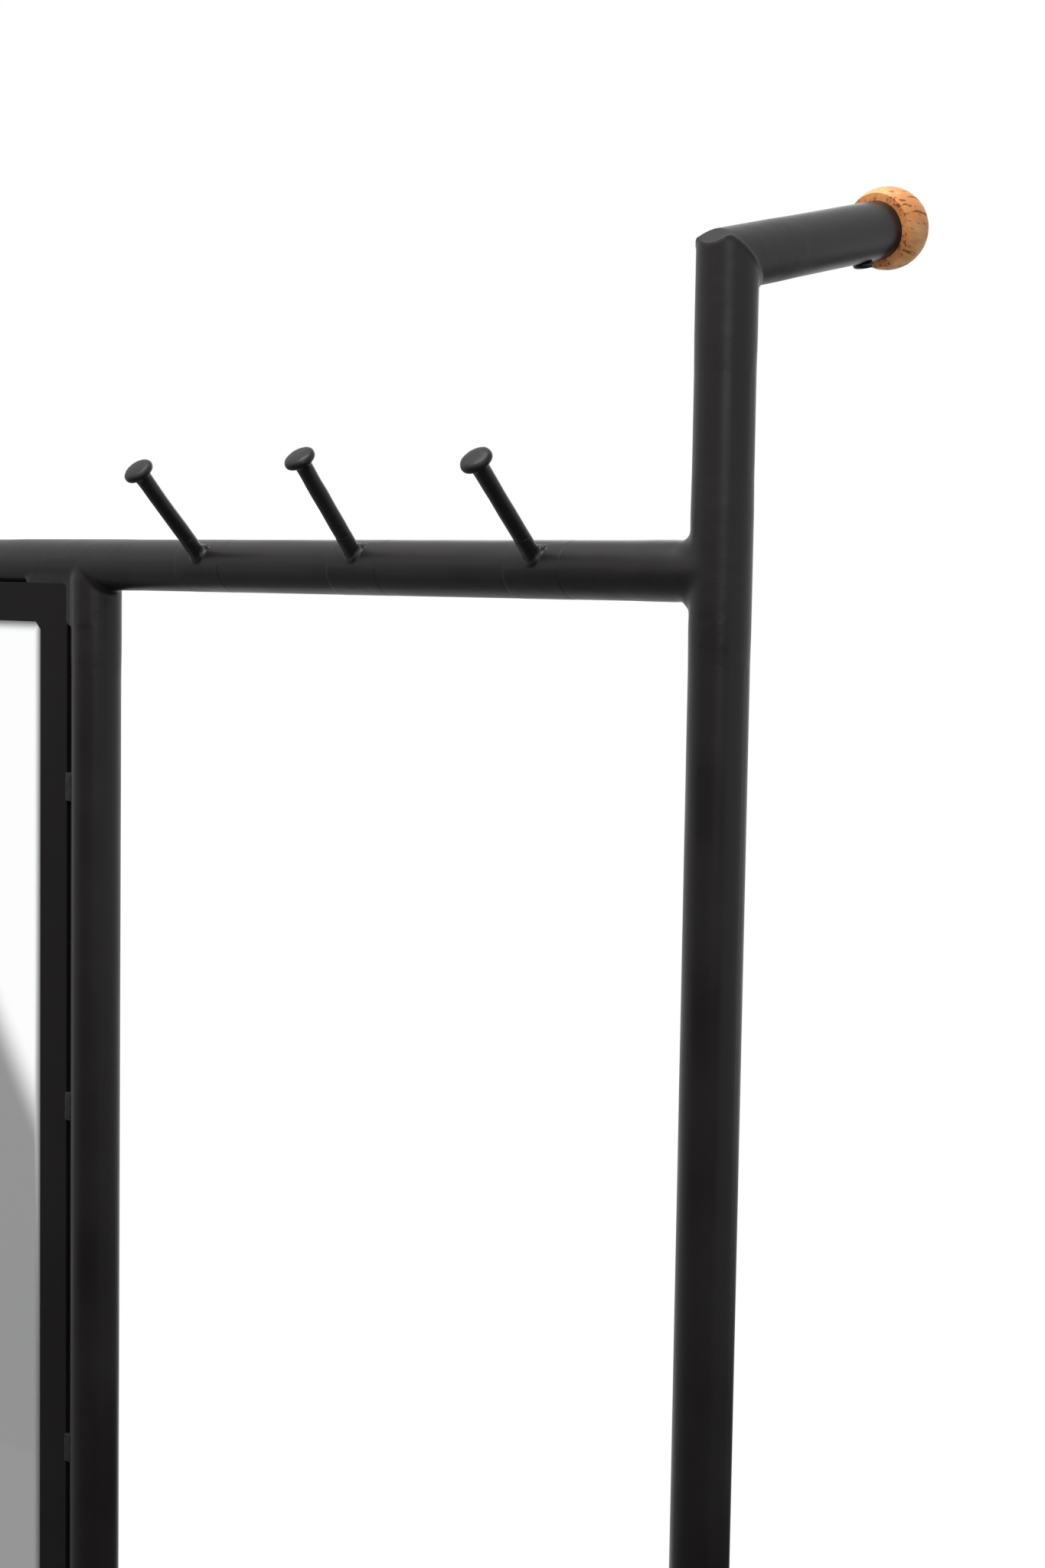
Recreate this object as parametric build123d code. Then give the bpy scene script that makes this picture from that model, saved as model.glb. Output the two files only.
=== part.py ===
from build123d import *
import os
from math import cos, pi, radians, sin, sqrt

# Floor mirror with coat rack: a welded frame of round tube on two foot tubes.
# +X is to the right, +Y is to the back, +Z is up, in millimetres.
# The origin is on the floor, halfway between the uprights and halfway from front to back.

# Tube frame
TUBE_DIAMETER = 26.9
TUBE_WALL = 2.0
HANGING_BAY = 419.0         # from the mirror's side tube to the right upright, between axes
MIRROR_BAY = 450.0          # from the left upright to the mirror's side tube, between axes
TOP_BAR_HEIGHT = 1630.0     # axis of the top crossbar above the floor
BOTTOM_BAR_HEIGHT = 150.0   # axis of the bottom crossbar above the floor

# Arms and their wooden balls
ARM_ABOVE_BAR = 133.0       # from the crossbar's axis up to the corner of the arm
ARM_RISE = 12.4             # degrees that the arm rises towards the back
ARM_LENGTH = 117.0          # from the upright's axis to the end of the arm's tube
ARM_CORNER = 13.8           # from the corner's axis point out to its ground face
CORNER_FILL = 2.5           # depth of the weld that closes the ground corner
CORNER_WEB = 2.8            # height of the weld in the inner corner
BALL_DIAMETER = 38.0
BALL_SETOUT = 8.5           # from the tube's end to the ball's centre
TENON_LENGTH = 22.0
TENON_CLEARANCE = 0.1
BALL_SCREW_INSET = 14.0     # from the tube's end to the screw
BALL_SCREW_RADIUS = 1.75
BALL_SCREW_BITE = 9.0       # depth of the screw in the tenon
BALL_SCREW_HEAD_RADIUS = 4.8
BALL_SCREW_HEAD_HEIGHT = 2.4
BALL_SCREW_HEAD_ROUND = 1.44

# Coat pegs: distance of each from the right upright's axis, and its rise in degrees
PEGS = {"right": (97.7, 46.4), "middle": (212.6, 50.0), "left": (323.9, 45.3)}
PEG_DIAMETER = 8.0
PEG_AXIS_OFFSET = 4.0       # how far the peg's axis passes in front of the crossbar's axis
PEG_REACH = 66.8            # from the crossbar's axis to the underside of the head
PEG_INNER_END = 7.5         # from the crossbar's axis to the peg's end in the tube
PEG_HEAD_DIAMETER = 15.5
PEG_HEAD_HEIGHT = 5.0
PEG_HEAD_ROUND = 1.8

# Mirror
FLAT_THICKNESS = 3.0
SIDE_FLAT_WIDTH = 23.0
LEVEL_FLAT_WIDTH = 21.3
FLAT_SETBACK = 1.5          # how far the flats lie behind the front of the tubes
CORNER_GUSSET = 4.0
TAPE_THICKNESS = 1.0
TAPE_WIDTH = 12.0
TAPE_INSET = 2.0
GLASS_THICKNESS = 4.0
GLASS_CLEARANCE = 1.5
BOARD_THICKNESS = 3.0

# Angle clips that hold the board
CLIP_WIDTH = 16.0
CLIP_THICKNESS = 1.5
CLIP_TOE = 16.0             # leg that lies on the board
CLIP_LEG = 12.0             # leg that stands against the tube
CLIP_GAP = 0.05             # from the standing leg to the tube
LONG_SIDE_CLIPS = 3
SHORT_SIDE_CLIPS = 2
CLIP_SCREW_SETBACK = 6.0    # from the tube's axis to the screw, towards the back
CLIP_SCREW_RADIUS = 2.1
CLIP_SCREW_LENGTH = 11.0
CLIP_SCREW_HEAD_RADIUS = 4.0
CLIP_SCREW_HEAD_HEIGHT = 2.4
CLIP_SCREW_HEAD_ROUND = 1.2

# Weld metal
FILLET_SIZE = 4.0
FILLET_SPAN = 15.0
PEG_WELD_WIDTH = 2.4
PEG_WELD_HEIGHT = 3.0
STITCH_LENGTH = 16.0
STITCH_FIRST = 120.3        # from the corner of the tubes' axes to the first stitch
STITCH_PITCH = 183.5
STITCH_WANDER = 8.0         # how far a stitch set by hand strays from even spacing
CORNER_WELD_DOWN = 31.5
CORNER_WELD_ACROSS = 48.0

# Feet
FOOT_REACH = 212.0          # from the frame's plane to the end of a foot
FOOT_PLUG_FLANGE = 3.0
FOOT_PLUG_ROUND = 2.1
FOOT_PLUG_DEPTH = 12.0
PLUG_CLEARANCE = 0.1
UPRIGHT_PLUG_LENGTH = 25.0
UPRIGHT_PLUG_LIFT = 2.0
FOOT_BOLT_RADIUS = 4.0
FOOT_BOLT_HEAD_RADIUS = 7.0
FOOT_BOLT_HEAD_HEIGHT = 4.4
FOOT_BOLT_HEAD_ROUND = 2.6
FOOT_BOLT_SOCKET_RADIUS = 2.9
FOOT_BOLT_SOCKET_DEPTH = 2.6
FOOT_BOLT_SHORT = 4.0       # how far the bolt ends below the plug's top
WASHER_RADIUS = 9.0
WASHER_THICKNESS = 2.0
WASHER_SADDLE = 2.5
HOLE_CLEARANCE = 0.1

# Levelling glides
GLIDE_INSET = 30.0
GLIDE_RADIUS = 15.0
GLIDE_HEIGHT = 9.0
GLIDE_EDGE = 2.0
GLIDE_SOCKET = 5.0
GLIDE_HEX_RADIUS = 7.5
GLIDE_HEX_HEIGHT = 5.0
GLIDE_GAP = 6.0             # from the hexagon to the insert, at rest
GLIDE_STUD_RADIUS = 4.0
GLIDE_STUD_ENGAGED = 18.0
INSERT_RADIUS = 5.5
INSERT_LENGTH = 14.0
INSERT_FLANGE_RADIUS = 7.0
INSERT_FLANGE_HEIGHT = 1.2

TUBE_RADIUS = TUBE_DIAMETER / 2
BORE_RADIUS = TUBE_RADIUS - TUBE_WALL
RIGHT_X = (HANGING_BAY + MIRROR_BAY) / 2
LEFT_X = -RIGHT_X
SIDE_TUBE_X = LEFT_X + MIRROR_BAY
ARM_HEIGHT = TOP_BAR_HEIGHT + ARM_ABOVE_BAR
PEG_RADIUS = PEG_DIAMETER / 2

INSERT_BOTTOM = GLIDE_HEIGHT + GLIDE_HEX_HEIGHT + GLIDE_GAP
FOOT_BOTTOM = INSERT_BOTTOM + INSERT_FLANGE_HEIGHT
FOOT_AXIS_HEIGHT = FOOT_BOTTOM + TUBE_RADIUS
FOOT_TOP = FOOT_AXIS_HEIGHT + TUBE_RADIUS

FLAT_FRONT = -(TUBE_RADIUS - FLAT_SETBACK)
FLAT_BACK = FLAT_FRONT + FLAT_THICKNESS
FLAT_EDGE = sqrt(TUBE_RADIUS ** 2 - FLAT_BACK ** 2) + HOLE_CLEARANCE
GLASS_EDGE = TUBE_RADIUS + GLASS_CLEARANCE
GLASS_FRONT = FLAT_BACK + TAPE_THICKNESS
GLASS_BACK = GLASS_FRONT + GLASS_THICKNESS
BOARD_BACK = GLASS_BACK + BOARD_THICKNESS

UP = Vector(0, 0, 1)
ARM_DIRECTION = Vector(0, cos(radians(ARM_RISE)), sin(radians(ARM_RISE)))
ARM_UNDERSIDE = Vector(0, sin(radians(ARM_RISE)), -cos(radians(ARM_RISE)))
CORNER_OUTWARD = (UP - ARM_DIRECTION).normalized()


def rod(start, end, radius):
    """A solid round bar from one point to another."""
    path = Vector(end) - Vector(start)
    bar = Cylinder(radius, path.length, align=(Align.CENTER, Align.CENTER, Align.MIN))
    return Plane(origin=start, z_dir=path) * bar


def tube(start, end):
    """A length of the frame's round tube."""
    return rod(start, end, TUBE_RADIUS) - rod(start, end, BORE_RADIUS)


def block(low, high):
    """A rectangular block from its lowest to its highest corner."""
    size = Vector(high) - Vector(low)
    solid = Box(size.X, size.Y, size.Z, align=(Align.MIN, Align.MIN, Align.MIN))
    return Pos(*low) * solid


def plate(corners, front, back):
    """A flat plate with these (x, z) corners, from its front to its back."""
    outline = Plane.XZ * make_face(Polyline(*corners, close=True))
    return Pos(0, front, 0) * extrude(outline, amount=back - front, dir=(0, 1, 0))


def group(pieces):
    """Separate solids that share one node."""
    return Compound(children=[solid for piece in pieces for solid in piece.solids()])


def write(name, shape):
    """Write one node's file."""
    export_step(shape, "parts/" + name + ".step")


def outline_tubes():
    """The tubes round the mirror, as solid bars, for what is fitted between them."""
    return {
        "top": rod((LEFT_X, 0, TOP_BAR_HEIGHT), (RIGHT_X, 0, TOP_BAR_HEIGHT), TUBE_RADIUS),
        "bottom": rod((LEFT_X, 0, BOTTOM_BAR_HEIGHT), (RIGHT_X, 0, BOTTOM_BAR_HEIGHT), TUBE_RADIUS),
        "right": rod((SIDE_TUBE_X, 0, BOTTOM_BAR_HEIGHT), (SIDE_TUBE_X, 0, TOP_BAR_HEIGHT), TUBE_RADIUS),
        "left": rod((LEFT_X, 0, BOTTOM_BAR_HEIGHT), (LEFT_X, 0, TOP_BAR_HEIGHT), TUBE_RADIUS),
    }


def upright_bar(x):
    """The whole upright as a solid bar, for coping the crossbars against it."""
    return rod((x, 0, FOOT_AXIS_HEIGHT), (x, 0, ARM_HEIGHT), TUBE_RADIUS)


def foot_bar(x):
    """The whole foot as a solid bar, for coping the upright against it."""
    return rod((x, -FOOT_REACH, FOOT_AXIS_HEIGHT), (x, FOOT_REACH, FOOT_AXIS_HEIGHT), TUBE_RADIUS)


def arm_corner(x):
    """Where the axes of an upright and its arm meet."""
    return Vector(x, 0, ARM_HEIGHT)


def mitre(x):
    """The plane in which an upright and its arm meet."""
    return Plane(origin=arm_corner(x), x_dir=(1, 0, 0), z_dir=UP + ARM_DIRECTION)


def corner_face(x, distance):
    """A plane across the outer corner of an upright and its arm."""
    return Plane(origin=arm_corner(x) + CORNER_OUTWARD * distance, x_dir=(1, 0, 0), z_dir=CORNER_OUTWARD)


def upright(x):
    """An upright: coped on its foot tube, mitred to its arm, its corner ground off."""
    overlong = arm_corner(x) + UP * TUBE_DIAMETER
    body = tube((x, 0, FOOT_AXIS_HEIGHT), overlong)
    body = split(body, bisect_by=mitre(x), keep=Keep.BOTTOM)
    body = split(body, bisect_by=corner_face(x, ARM_CORNER), keep=Keep.BOTTOM)
    return body - foot_bar(x)


def arm(x):
    """An arm that rises to the back from the top of its upright."""
    corner = arm_corner(x)
    body = tube(corner - ARM_DIRECTION * TUBE_DIAMETER, corner + ARM_DIRECTION * ARM_LENGTH)
    body = split(body, bisect_by=mitre(x), keep=Keep.TOP)
    body = split(body, bisect_by=corner_face(x, ARM_CORNER), keep=Keep.BOTTOM)
    return body - ball_screw_hole(x)


def ball_screw_point(x):
    """The point on an arm's axis above its ball's screw."""
    return arm_corner(x) + ARM_DIRECTION * (ARM_LENGTH - BALL_SCREW_INSET)


def ball_screw_hole(x):
    """The hole for the screw in the arm's underside and in the tenon."""
    outside = ball_screw_point(x) + ARM_UNDERSIDE * TUBE_DIAMETER
    inside = ball_screw_point(x) + ARM_UNDERSIDE * (BORE_RADIUS - BALL_SCREW_BITE - HOLE_CLEARANCE)
    return rod(inside, outside, BALL_SCREW_RADIUS + HOLE_CLEARANCE)


def arm_ball(x):
    """A turned wooden ball, flat where it meets the tube, with its tenon."""
    end = arm_corner(x) + ARM_DIRECTION * ARM_LENGTH
    centre = end + ARM_DIRECTION * BALL_SETOUT
    ball = Pos(*centre) * Sphere(BALL_DIAMETER / 2)
    ball = split(ball, bisect_by=Plane(origin=end, z_dir=ARM_DIRECTION), keep=Keep.TOP)
    tenon = rod(end - ARM_DIRECTION * TENON_LENGTH, centre, BORE_RADIUS - TENON_CLEARANCE)
    return ball + tenon - ball_screw_hole(x)


def ball_screw(x):
    """The screw that holds a ball, with a low domed head on the arm's underside."""
    seat = ball_screw_point(x) + ARM_UNDERSIDE * TUBE_RADIUS
    tip = ball_screw_point(x) + ARM_UNDERSIDE * (BORE_RADIUS - BALL_SCREW_BITE)
    head = rod(seat, seat + ARM_UNDERSIDE * BALL_SCREW_HEAD_HEIGHT, BALL_SCREW_HEAD_RADIUS)
    rim = head.edges().sort_by(Axis(seat, ARM_UNDERSIDE))[-1]
    head = fillet(rim, BALL_SCREW_HEAD_ROUND)
    return head + rod(tip, seat, BALL_SCREW_RADIUS)


def arm_weld(x):
    """Weld metal of one arm: the closed outer corner and the web in the inner corner."""
    corner = arm_corner(x)
    long_way = TUBE_DIAMETER * 2
    upright_bore = split(rod(corner - UP * long_way, corner + UP * long_way, BORE_RADIUS),
                         bisect_by=mitre(x), keep=Keep.BOTTOM)
    arm_bore = split(rod(corner - ARM_DIRECTION * long_way, corner + ARM_DIRECTION * long_way, BORE_RADIUS),
                     bisect_by=mitre(x), keep=Keep.TOP)
    fill = upright_bore + arm_bore
    fill = split(fill, bisect_by=corner_face(x, ARM_CORNER), keep=Keep.BOTTOM)
    fill = split(fill, bisect_by=corner_face(x, ARM_CORNER - CORNER_FILL), keep=Keep.TOP)
    half_angle = radians(90 + ARM_RISE) / 2
    inner = corner - CORNER_OUTWARD * (TUBE_RADIUS / sin(half_angle))
    across = Plane(origin=inner, x_dir=(1, 0, 0), z_dir=CORNER_OUTWARD)
    web = across * Box(FILLET_SPAN, 2 * FILLET_SIZE, 2 * CORNER_WEB)
    web = web - rod(corner - UP * long_way, corner + UP, TUBE_RADIUS)
    web = web - rod(corner - ARM_DIRECTION, corner + ARM_DIRECTION * long_way, TUBE_RADIUS)
    return [fill, web]


def peg_axis(offset, rise):
    """A point beside the crossbar's axis and the direction of a peg."""
    direction = Vector(0, -cos(radians(rise)), sin(radians(rise)))
    forward = Vector(0, -sin(radians(rise)), -cos(radians(rise)))
    return Vector(RIGHT_X - offset, 0, TOP_BAR_HEIGHT) + forward * PEG_AXIS_OFFSET, direction


def peg_hole(offset, rise):
    """The hole for a peg in the front wall of the crossbar."""
    start, direction = peg_axis(offset, rise)
    return rod(start, start + direction * TUBE_DIAMETER, PEG_RADIUS + HOLE_CLEARANCE)


def coat_peg(offset, rise):
    """A coat peg: a rod whose end is upset into a flat round head."""
    start, direction = peg_axis(offset, rise)
    under_head = start + direction * PEG_REACH
    head = rod(under_head, under_head + direction * PEG_HEAD_HEIGHT, PEG_HEAD_DIAMETER / 2)
    rims = head.edges().filter_by(GeomType.CIRCLE).sort_by(Axis(start, direction))
    head = fillet(rims[-1], PEG_HEAD_ROUND)
    return head + rod(start + direction * PEG_INNER_END, under_head, PEG_RADIUS)


def peg_weld(offset, rise):
    """The collar of weld round the foot of a peg."""
    start, direction = peg_axis(offset, rise)
    far = start + direction * TUBE_DIAMETER
    bar_end = Vector(PEG_HEAD_DIAMETER, 0, 0)
    bar_centre = Vector(RIGHT_X - offset, 0, TOP_BAR_HEIGHT)
    collar = rod(start, far, PEG_RADIUS + PEG_WELD_WIDTH)
    collar = collar & rod(bar_centre - bar_end, bar_centre + bar_end, TUBE_RADIUS + PEG_WELD_HEIGHT)
    collar = collar - rod(bar_centre - bar_end, bar_centre + bar_end, TUBE_RADIUS)
    return collar - rod(start, far, PEG_RADIUS)


def clip_stations():
    """Each clip's place: the point on its tube's axis, and the turn that points it at the mirror."""
    height = TOP_BAR_HEIGHT - BOTTOM_BAR_HEIGHT
    stations = []
    for number in range(LONG_SIDE_CLIPS):
        z = BOTTOM_BAR_HEIGHT + height * (number + 0.5) / LONG_SIDE_CLIPS
        stations += [("right", (SIDE_TUBE_X, 0, z), 180), ("left", (LEFT_X, 0, z), 0)]
    for number in range(SHORT_SIDE_CLIPS):
        x = LEFT_X + MIRROR_BAY * (number + 0.5) / SHORT_SIDE_CLIPS
        stations += [("top", (x, 0, TOP_BAR_HEIGHT), 90), ("bottom", (x, 0, BOTTOM_BAR_HEIGHT), -90)]
    return stations


def at_station(point, turn, shape):
    """Move a clip or its screw from its own axes to its place."""
    return Pos(*point) * Rot(0, turn, 0) * shape


def clip_screw_rod(near, far, radius):
    """A round bar along the axis of a clip's screw."""
    return rod((near, CLIP_SCREW_SETBACK, 0), (far, CLIP_SCREW_SETBACK, 0), radius)


def clip_screw_holes(side):
    """The screw holes in the inner side of one tube round the mirror."""
    hole = clip_screw_rod(0, TUBE_DIAMETER, CLIP_SCREW_RADIUS + HOLE_CLEARANCE)
    return [at_station(point, turn, hole) for name, point, turn in clip_stations() if name == side]


def retaining_clip():
    """An angle clip: one leg on the back of the board, one leg against the tube."""
    half = CLIP_WIDTH / 2
    face = TUBE_RADIUS + CLIP_GAP
    leg = block((face, BOARD_BACK, -half), (face + CLIP_THICKNESS, BOARD_BACK + CLIP_LEG, half))
    toe = block((face, BOARD_BACK, -half), (face + CLIP_TOE, BOARD_BACK + CLIP_THICKNESS, half))
    return leg + toe - clip_screw_rod(0, TUBE_DIAMETER, CLIP_SCREW_RADIUS + HOLE_CLEARANCE)


def clip_screw():
    """A pan-head screw through a clip into the tube's wall."""
    seat = TUBE_RADIUS + CLIP_GAP + CLIP_THICKNESS
    head = clip_screw_rod(seat, seat + CLIP_SCREW_HEAD_HEIGHT, CLIP_SCREW_HEAD_RADIUS)
    head = fillet(head.edges().sort_by(Axis.X)[-1], CLIP_SCREW_HEAD_ROUND)
    return head + clip_screw_rod(seat - CLIP_SCREW_LENGTH, seat, CLIP_SCREW_RADIUS)


def fillet_bead(x, z):
    """A short weld with a flat face in the corner of two tubes that cross at a right angle."""
    side = FILLET_SIZE * sqrt(2)
    return Pos(x, 0, z) * Rot(0, 45, 0) * Box(side, FILLET_SPAN, side)


def crossbar_welds():
    """Beads above and below each crossbar, except where the mirror's frame fills the corner."""
    bars = outline_tubes()
    beads = []
    for z, bar in ((TOP_BAR_HEIGHT, bars["top"]), (BOTTOM_BAR_HEIGHT, bars["bottom"])):
        inward = -1 if z == TOP_BAR_HEIGHT else 1
        for x, corners in ((RIGHT_X, (-1, 1)), (LEFT_X, (-inward,))):
            towards_middle = -1 if x > 0 else 1
            for above in corners:
                bead = fillet_bead(x + towards_middle * TUBE_RADIUS, z + above * TUBE_RADIUS)
                beads.append(bead - bar - upright_bar(x))
    return beads


def side_tube_welds():
    """Beads at both ends of the mirror's side tube, on the hanging bay's side."""
    bars = outline_tubes()
    x = SIDE_TUBE_X + TUBE_RADIUS
    upper = fillet_bead(x, TOP_BAR_HEIGHT - TUBE_RADIUS) - bars["top"] - bars["right"]
    lower = fillet_bead(x, BOTTOM_BAR_HEIGHT + TUBE_RADIUS) - bars["bottom"] - bars["right"]
    return [upper, lower]


def mirror_flats():
    """The four flat bars round the glass, mitred at the corners."""
    left = LEFT_X + FLAT_EDGE
    right = SIDE_TUBE_X - FLAT_EDGE
    bottom = BOTTOM_BAR_HEIGHT + FLAT_EDGE
    top = TOP_BAR_HEIGHT - FLAT_EDGE
    inner_left = left + SIDE_FLAT_WIDTH
    inner_right = right - SIDE_FLAT_WIDTH
    inner_bottom = bottom + LEVEL_FLAT_WIDTH
    inner_top = top - LEVEL_FLAT_WIDTH
    outlines = {
        "top": [(left, top), (right, top), (inner_right, inner_top), (inner_left, inner_top)],
        "bottom": [(left, bottom), (right, bottom), (inner_right, inner_bottom), (inner_left, inner_bottom)],
        "left": [(left, bottom), (left, top), (inner_left, inner_top), (inner_left, inner_bottom)],
        "right": [(right, bottom), (right, top), (inner_right, inner_top), (inner_right, inner_bottom)],
    }
    return {name: plate(corners, FLAT_FRONT, FLAT_BACK) for name, corners in outlines.items()}


def mirror_corners():
    """The four corners of the mirror's bay: x, z, and the way to the middle along each."""
    return [
        (SIDE_TUBE_X, TOP_BAR_HEIGHT, -1, -1),
        (SIDE_TUBE_X, BOTTOM_BAR_HEIGHT, -1, 1),
        (LEFT_X, TOP_BAR_HEIGHT, 1, -1),
        (LEFT_X, BOTTOM_BAR_HEIGHT, 1, 1),
    ]


def oriented_block(x, z, across, along, width, height):
    """A block as thick as the flats, from a corner of the bay towards its middle."""
    low = (min(x, x + across * width), FLAT_FRONT, min(z, z + along * height))
    high = (max(x, x + across * width), FLAT_BACK, max(z, z + along * height))
    return block(low, high)


def mirror_corner_welds():
    """Weld metal ground flush at each corner, and the small gusset inside it."""
    bars = outline_tubes()
    all_bars = bars["top"] + bars["bottom"] + bars["right"] + bars["left"]
    pieces = []
    for x, z, across, along in mirror_corners():
        level = oriented_block(x, z, across, along, CORNER_WELD_ACROSS, FLAT_EDGE)
        upright_leg = oriented_block(x, z, across, along, FLAT_EDGE, CORNER_WELD_DOWN)
        pieces.append(level + upright_leg - all_bars)
        inner_x = x + across * (FLAT_EDGE + SIDE_FLAT_WIDTH)
        inner_z = z + along * (FLAT_EDGE + LEVEL_FLAT_WIDTH)
        triangle = [(inner_x, inner_z), (inner_x + across * CORNER_GUSSET, inner_z),
                    (inner_x, inner_z + along * CORNER_GUSSET)]
        pieces.append(plate(triangle, FLAT_FRONT, FLAT_BACK))
    return pieces


def stitch_places(length, end_weld):
    """Distances of the stitches from a corner, set by hand, along a side of this length."""
    places = []
    number = 0
    while STITCH_FIRST + number * STITCH_PITCH + STITCH_WANDER < length - end_weld - STITCH_LENGTH:
        wander = STITCH_WANDER * sin(number * pi / 2)
        places.append(STITCH_FIRST + number * STITCH_PITCH - wander)
        number += 1
    return places


def mirror_stitch_welds():
    """Short welds that fill the groove between the flats and the tubes."""
    bars = outline_tubes()
    half = STITCH_LENGTH / 2
    stitches = []
    for distance in stitch_places(TOP_BAR_HEIGHT - BOTTOM_BAR_HEIGHT, CORNER_WELD_DOWN):
        z = TOP_BAR_HEIGHT - distance
        for x, across, bar in ((SIDE_TUBE_X, -1, bars["right"]), (LEFT_X, 1, bars["left"])):
            piece = oriented_block(x, z - half, across, 1, FLAT_EDGE, STITCH_LENGTH)
            stitches.append(piece - bar)
    for distance in stitch_places(MIRROR_BAY, CORNER_WELD_ACROSS):
        x = SIDE_TUBE_X - distance
        for z, along, bar in ((TOP_BAR_HEIGHT, -1, bars["top"]), (BOTTOM_BAR_HEIGHT, 1, bars["bottom"])):
            piece = oriented_block(x - half, z, 1, along, STITCH_LENGTH, FLAT_EDGE)
            stitches.append(piece - bar)
    return stitches


def mirror_sheet(front, back):
    """A sheet that fills the mirror's bay behind the flats."""
    low = (LEFT_X + GLASS_EDGE, front, BOTTOM_BAR_HEIGHT + GLASS_EDGE)
    high = (SIDE_TUBE_X - GLASS_EDGE, back, TOP_BAR_HEIGHT - GLASS_EDGE)
    return block(low, high)


def bedding_tape():
    """Four strips of foam tape between the flats and the glass."""
    edge = GLASS_EDGE + TAPE_INSET
    left = LEFT_X + edge
    right = SIDE_TUBE_X - edge
    bottom = BOTTOM_BAR_HEIGHT + edge
    top = TOP_BAR_HEIGHT - edge
    inner_left = left + TAPE_WIDTH
    inner_right = right - TAPE_WIDTH
    return [
        block((left, FLAT_BACK, bottom), (inner_left, GLASS_FRONT, top)),
        block((inner_right, FLAT_BACK, bottom), (right, GLASS_FRONT, top)),
        block((inner_left, FLAT_BACK, top - TAPE_WIDTH), (inner_right, GLASS_FRONT, top)),
        block((inner_left, FLAT_BACK, bottom), (inner_right, GLASS_FRONT, bottom + TAPE_WIDTH)),
    ]


def top_crossbar():
    """The top crossbar, coped against the uprights, with holes for pegs and clips."""
    bar = tube((LEFT_X, 0, TOP_BAR_HEIGHT), (RIGHT_X, 0, TOP_BAR_HEIGHT))
    bar = bar - upright_bar(LEFT_X) - upright_bar(RIGHT_X)
    for offset, rise in PEGS.values():
        bar = bar - peg_hole(offset, rise)
    for hole in clip_screw_holes("top"):
        bar = bar - hole
    return bar


def bottom_crossbar():
    """The bottom crossbar, coped against the uprights, with holes for the clips."""
    bar = tube((LEFT_X, 0, BOTTOM_BAR_HEIGHT), (RIGHT_X, 0, BOTTOM_BAR_HEIGHT))
    bar = bar - upright_bar(LEFT_X) - upright_bar(RIGHT_X)
    for hole in clip_screw_holes("bottom"):
        bar = bar - hole
    return bar


def mirror_side_tube():
    """The tube between the crossbars on the mirror's right."""
    bars = outline_tubes()
    bar = tube((SIDE_TUBE_X, 0, BOTTOM_BAR_HEIGHT), (SIDE_TUBE_X, 0, TOP_BAR_HEIGHT))
    bar = bar - bars["top"] - bars["bottom"]
    for hole in clip_screw_holes("right"):
        bar = bar - hole
    return bar


def left_upright():
    """The left upright, which also carries the mirror's left clips."""
    bar = upright(LEFT_X)
    for hole in clip_screw_holes("left"):
        bar = bar - hole
    return bar


def glide_places(x):
    """The front and back glide of one foot."""
    reach = FOOT_REACH - GLIDE_INSET
    return {"front": (x, -reach), "back": (x, reach)}


def foot_tube(x):
    """A foot tube with holes for the upright's bolt and for the glides' inserts."""
    half = FOOT_REACH - FOOT_PLUG_FLANGE
    body = tube((x, -half, FOOT_AXIS_HEIGHT), (x, half, FOOT_AXIS_HEIGHT))
    body = body - rod((x, 0, 0), (x, 0, FOOT_TOP), FOOT_BOLT_RADIUS + HOLE_CLEARANCE)
    for glide_x, glide_y in glide_places(x).values():
        body = body - rod((glide_x, glide_y, 0), (glide_x, glide_y, FOOT_AXIS_HEIGHT),
                          INSERT_RADIUS + HOLE_CLEARANCE)
    return body


def foot_end_plug(x, way):
    """A plastic plug in the end of a foot tube, with a rounded face."""
    face = way * FOOT_REACH
    shoulder = face - way * FOOT_PLUG_FLANGE
    inner = shoulder - way * FOOT_PLUG_DEPTH
    flange = rod((x, shoulder, FOOT_AXIS_HEIGHT), (x, face, FOOT_AXIS_HEIGHT), TUBE_RADIUS)
    rim = flange.edges().filter_by(GeomType.CIRCLE).sort_by(Axis((x, 0, 0), (0, way, 0)))[-1]
    flange = fillet(rim, FOOT_PLUG_ROUND)
    return flange + rod((x, inner, FOOT_AXIS_HEIGHT), (x, shoulder, FOOT_AXIS_HEIGHT),
                        BORE_RADIUS - PLUG_CLEARANCE)


def upright_plug(x):
    """The threaded plug in the lower end of an upright."""
    bottom = FOOT_TOP + UPRIGHT_PLUG_LIFT
    top = bottom + UPRIGHT_PLUG_LENGTH
    body = rod((x, 0, bottom), (x, 0, top), BORE_RADIUS - PLUG_CLEARANCE)
    return body - rod((x, 0, bottom), (x, 0, top), FOOT_BOLT_RADIUS + HOLE_CLEARANCE)


def foot_bolt(x):
    """The bolt up through a foot tube into the upright's plug."""
    seat = FOOT_BOTTOM - WASHER_THICKNESS
    tip = FOOT_TOP + UPRIGHT_PLUG_LIFT + UPRIGHT_PLUG_LENGTH - FOOT_BOLT_SHORT
    head = rod((x, 0, seat), (x, 0, seat - FOOT_BOLT_HEAD_HEIGHT), FOOT_BOLT_HEAD_RADIUS)
    head = fillet(head.edges().sort_by(Axis.Z)[0], FOOT_BOLT_HEAD_ROUND)
    socket = extrude(RegularPolygon(FOOT_BOLT_SOCKET_RADIUS, 6), amount=FOOT_BOLT_SOCKET_DEPTH)
    head = head - Pos(x, 0, seat - FOOT_BOLT_HEAD_HEIGHT) * socket
    return head + rod((x, 0, seat), (x, 0, tip), FOOT_BOLT_RADIUS)


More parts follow.
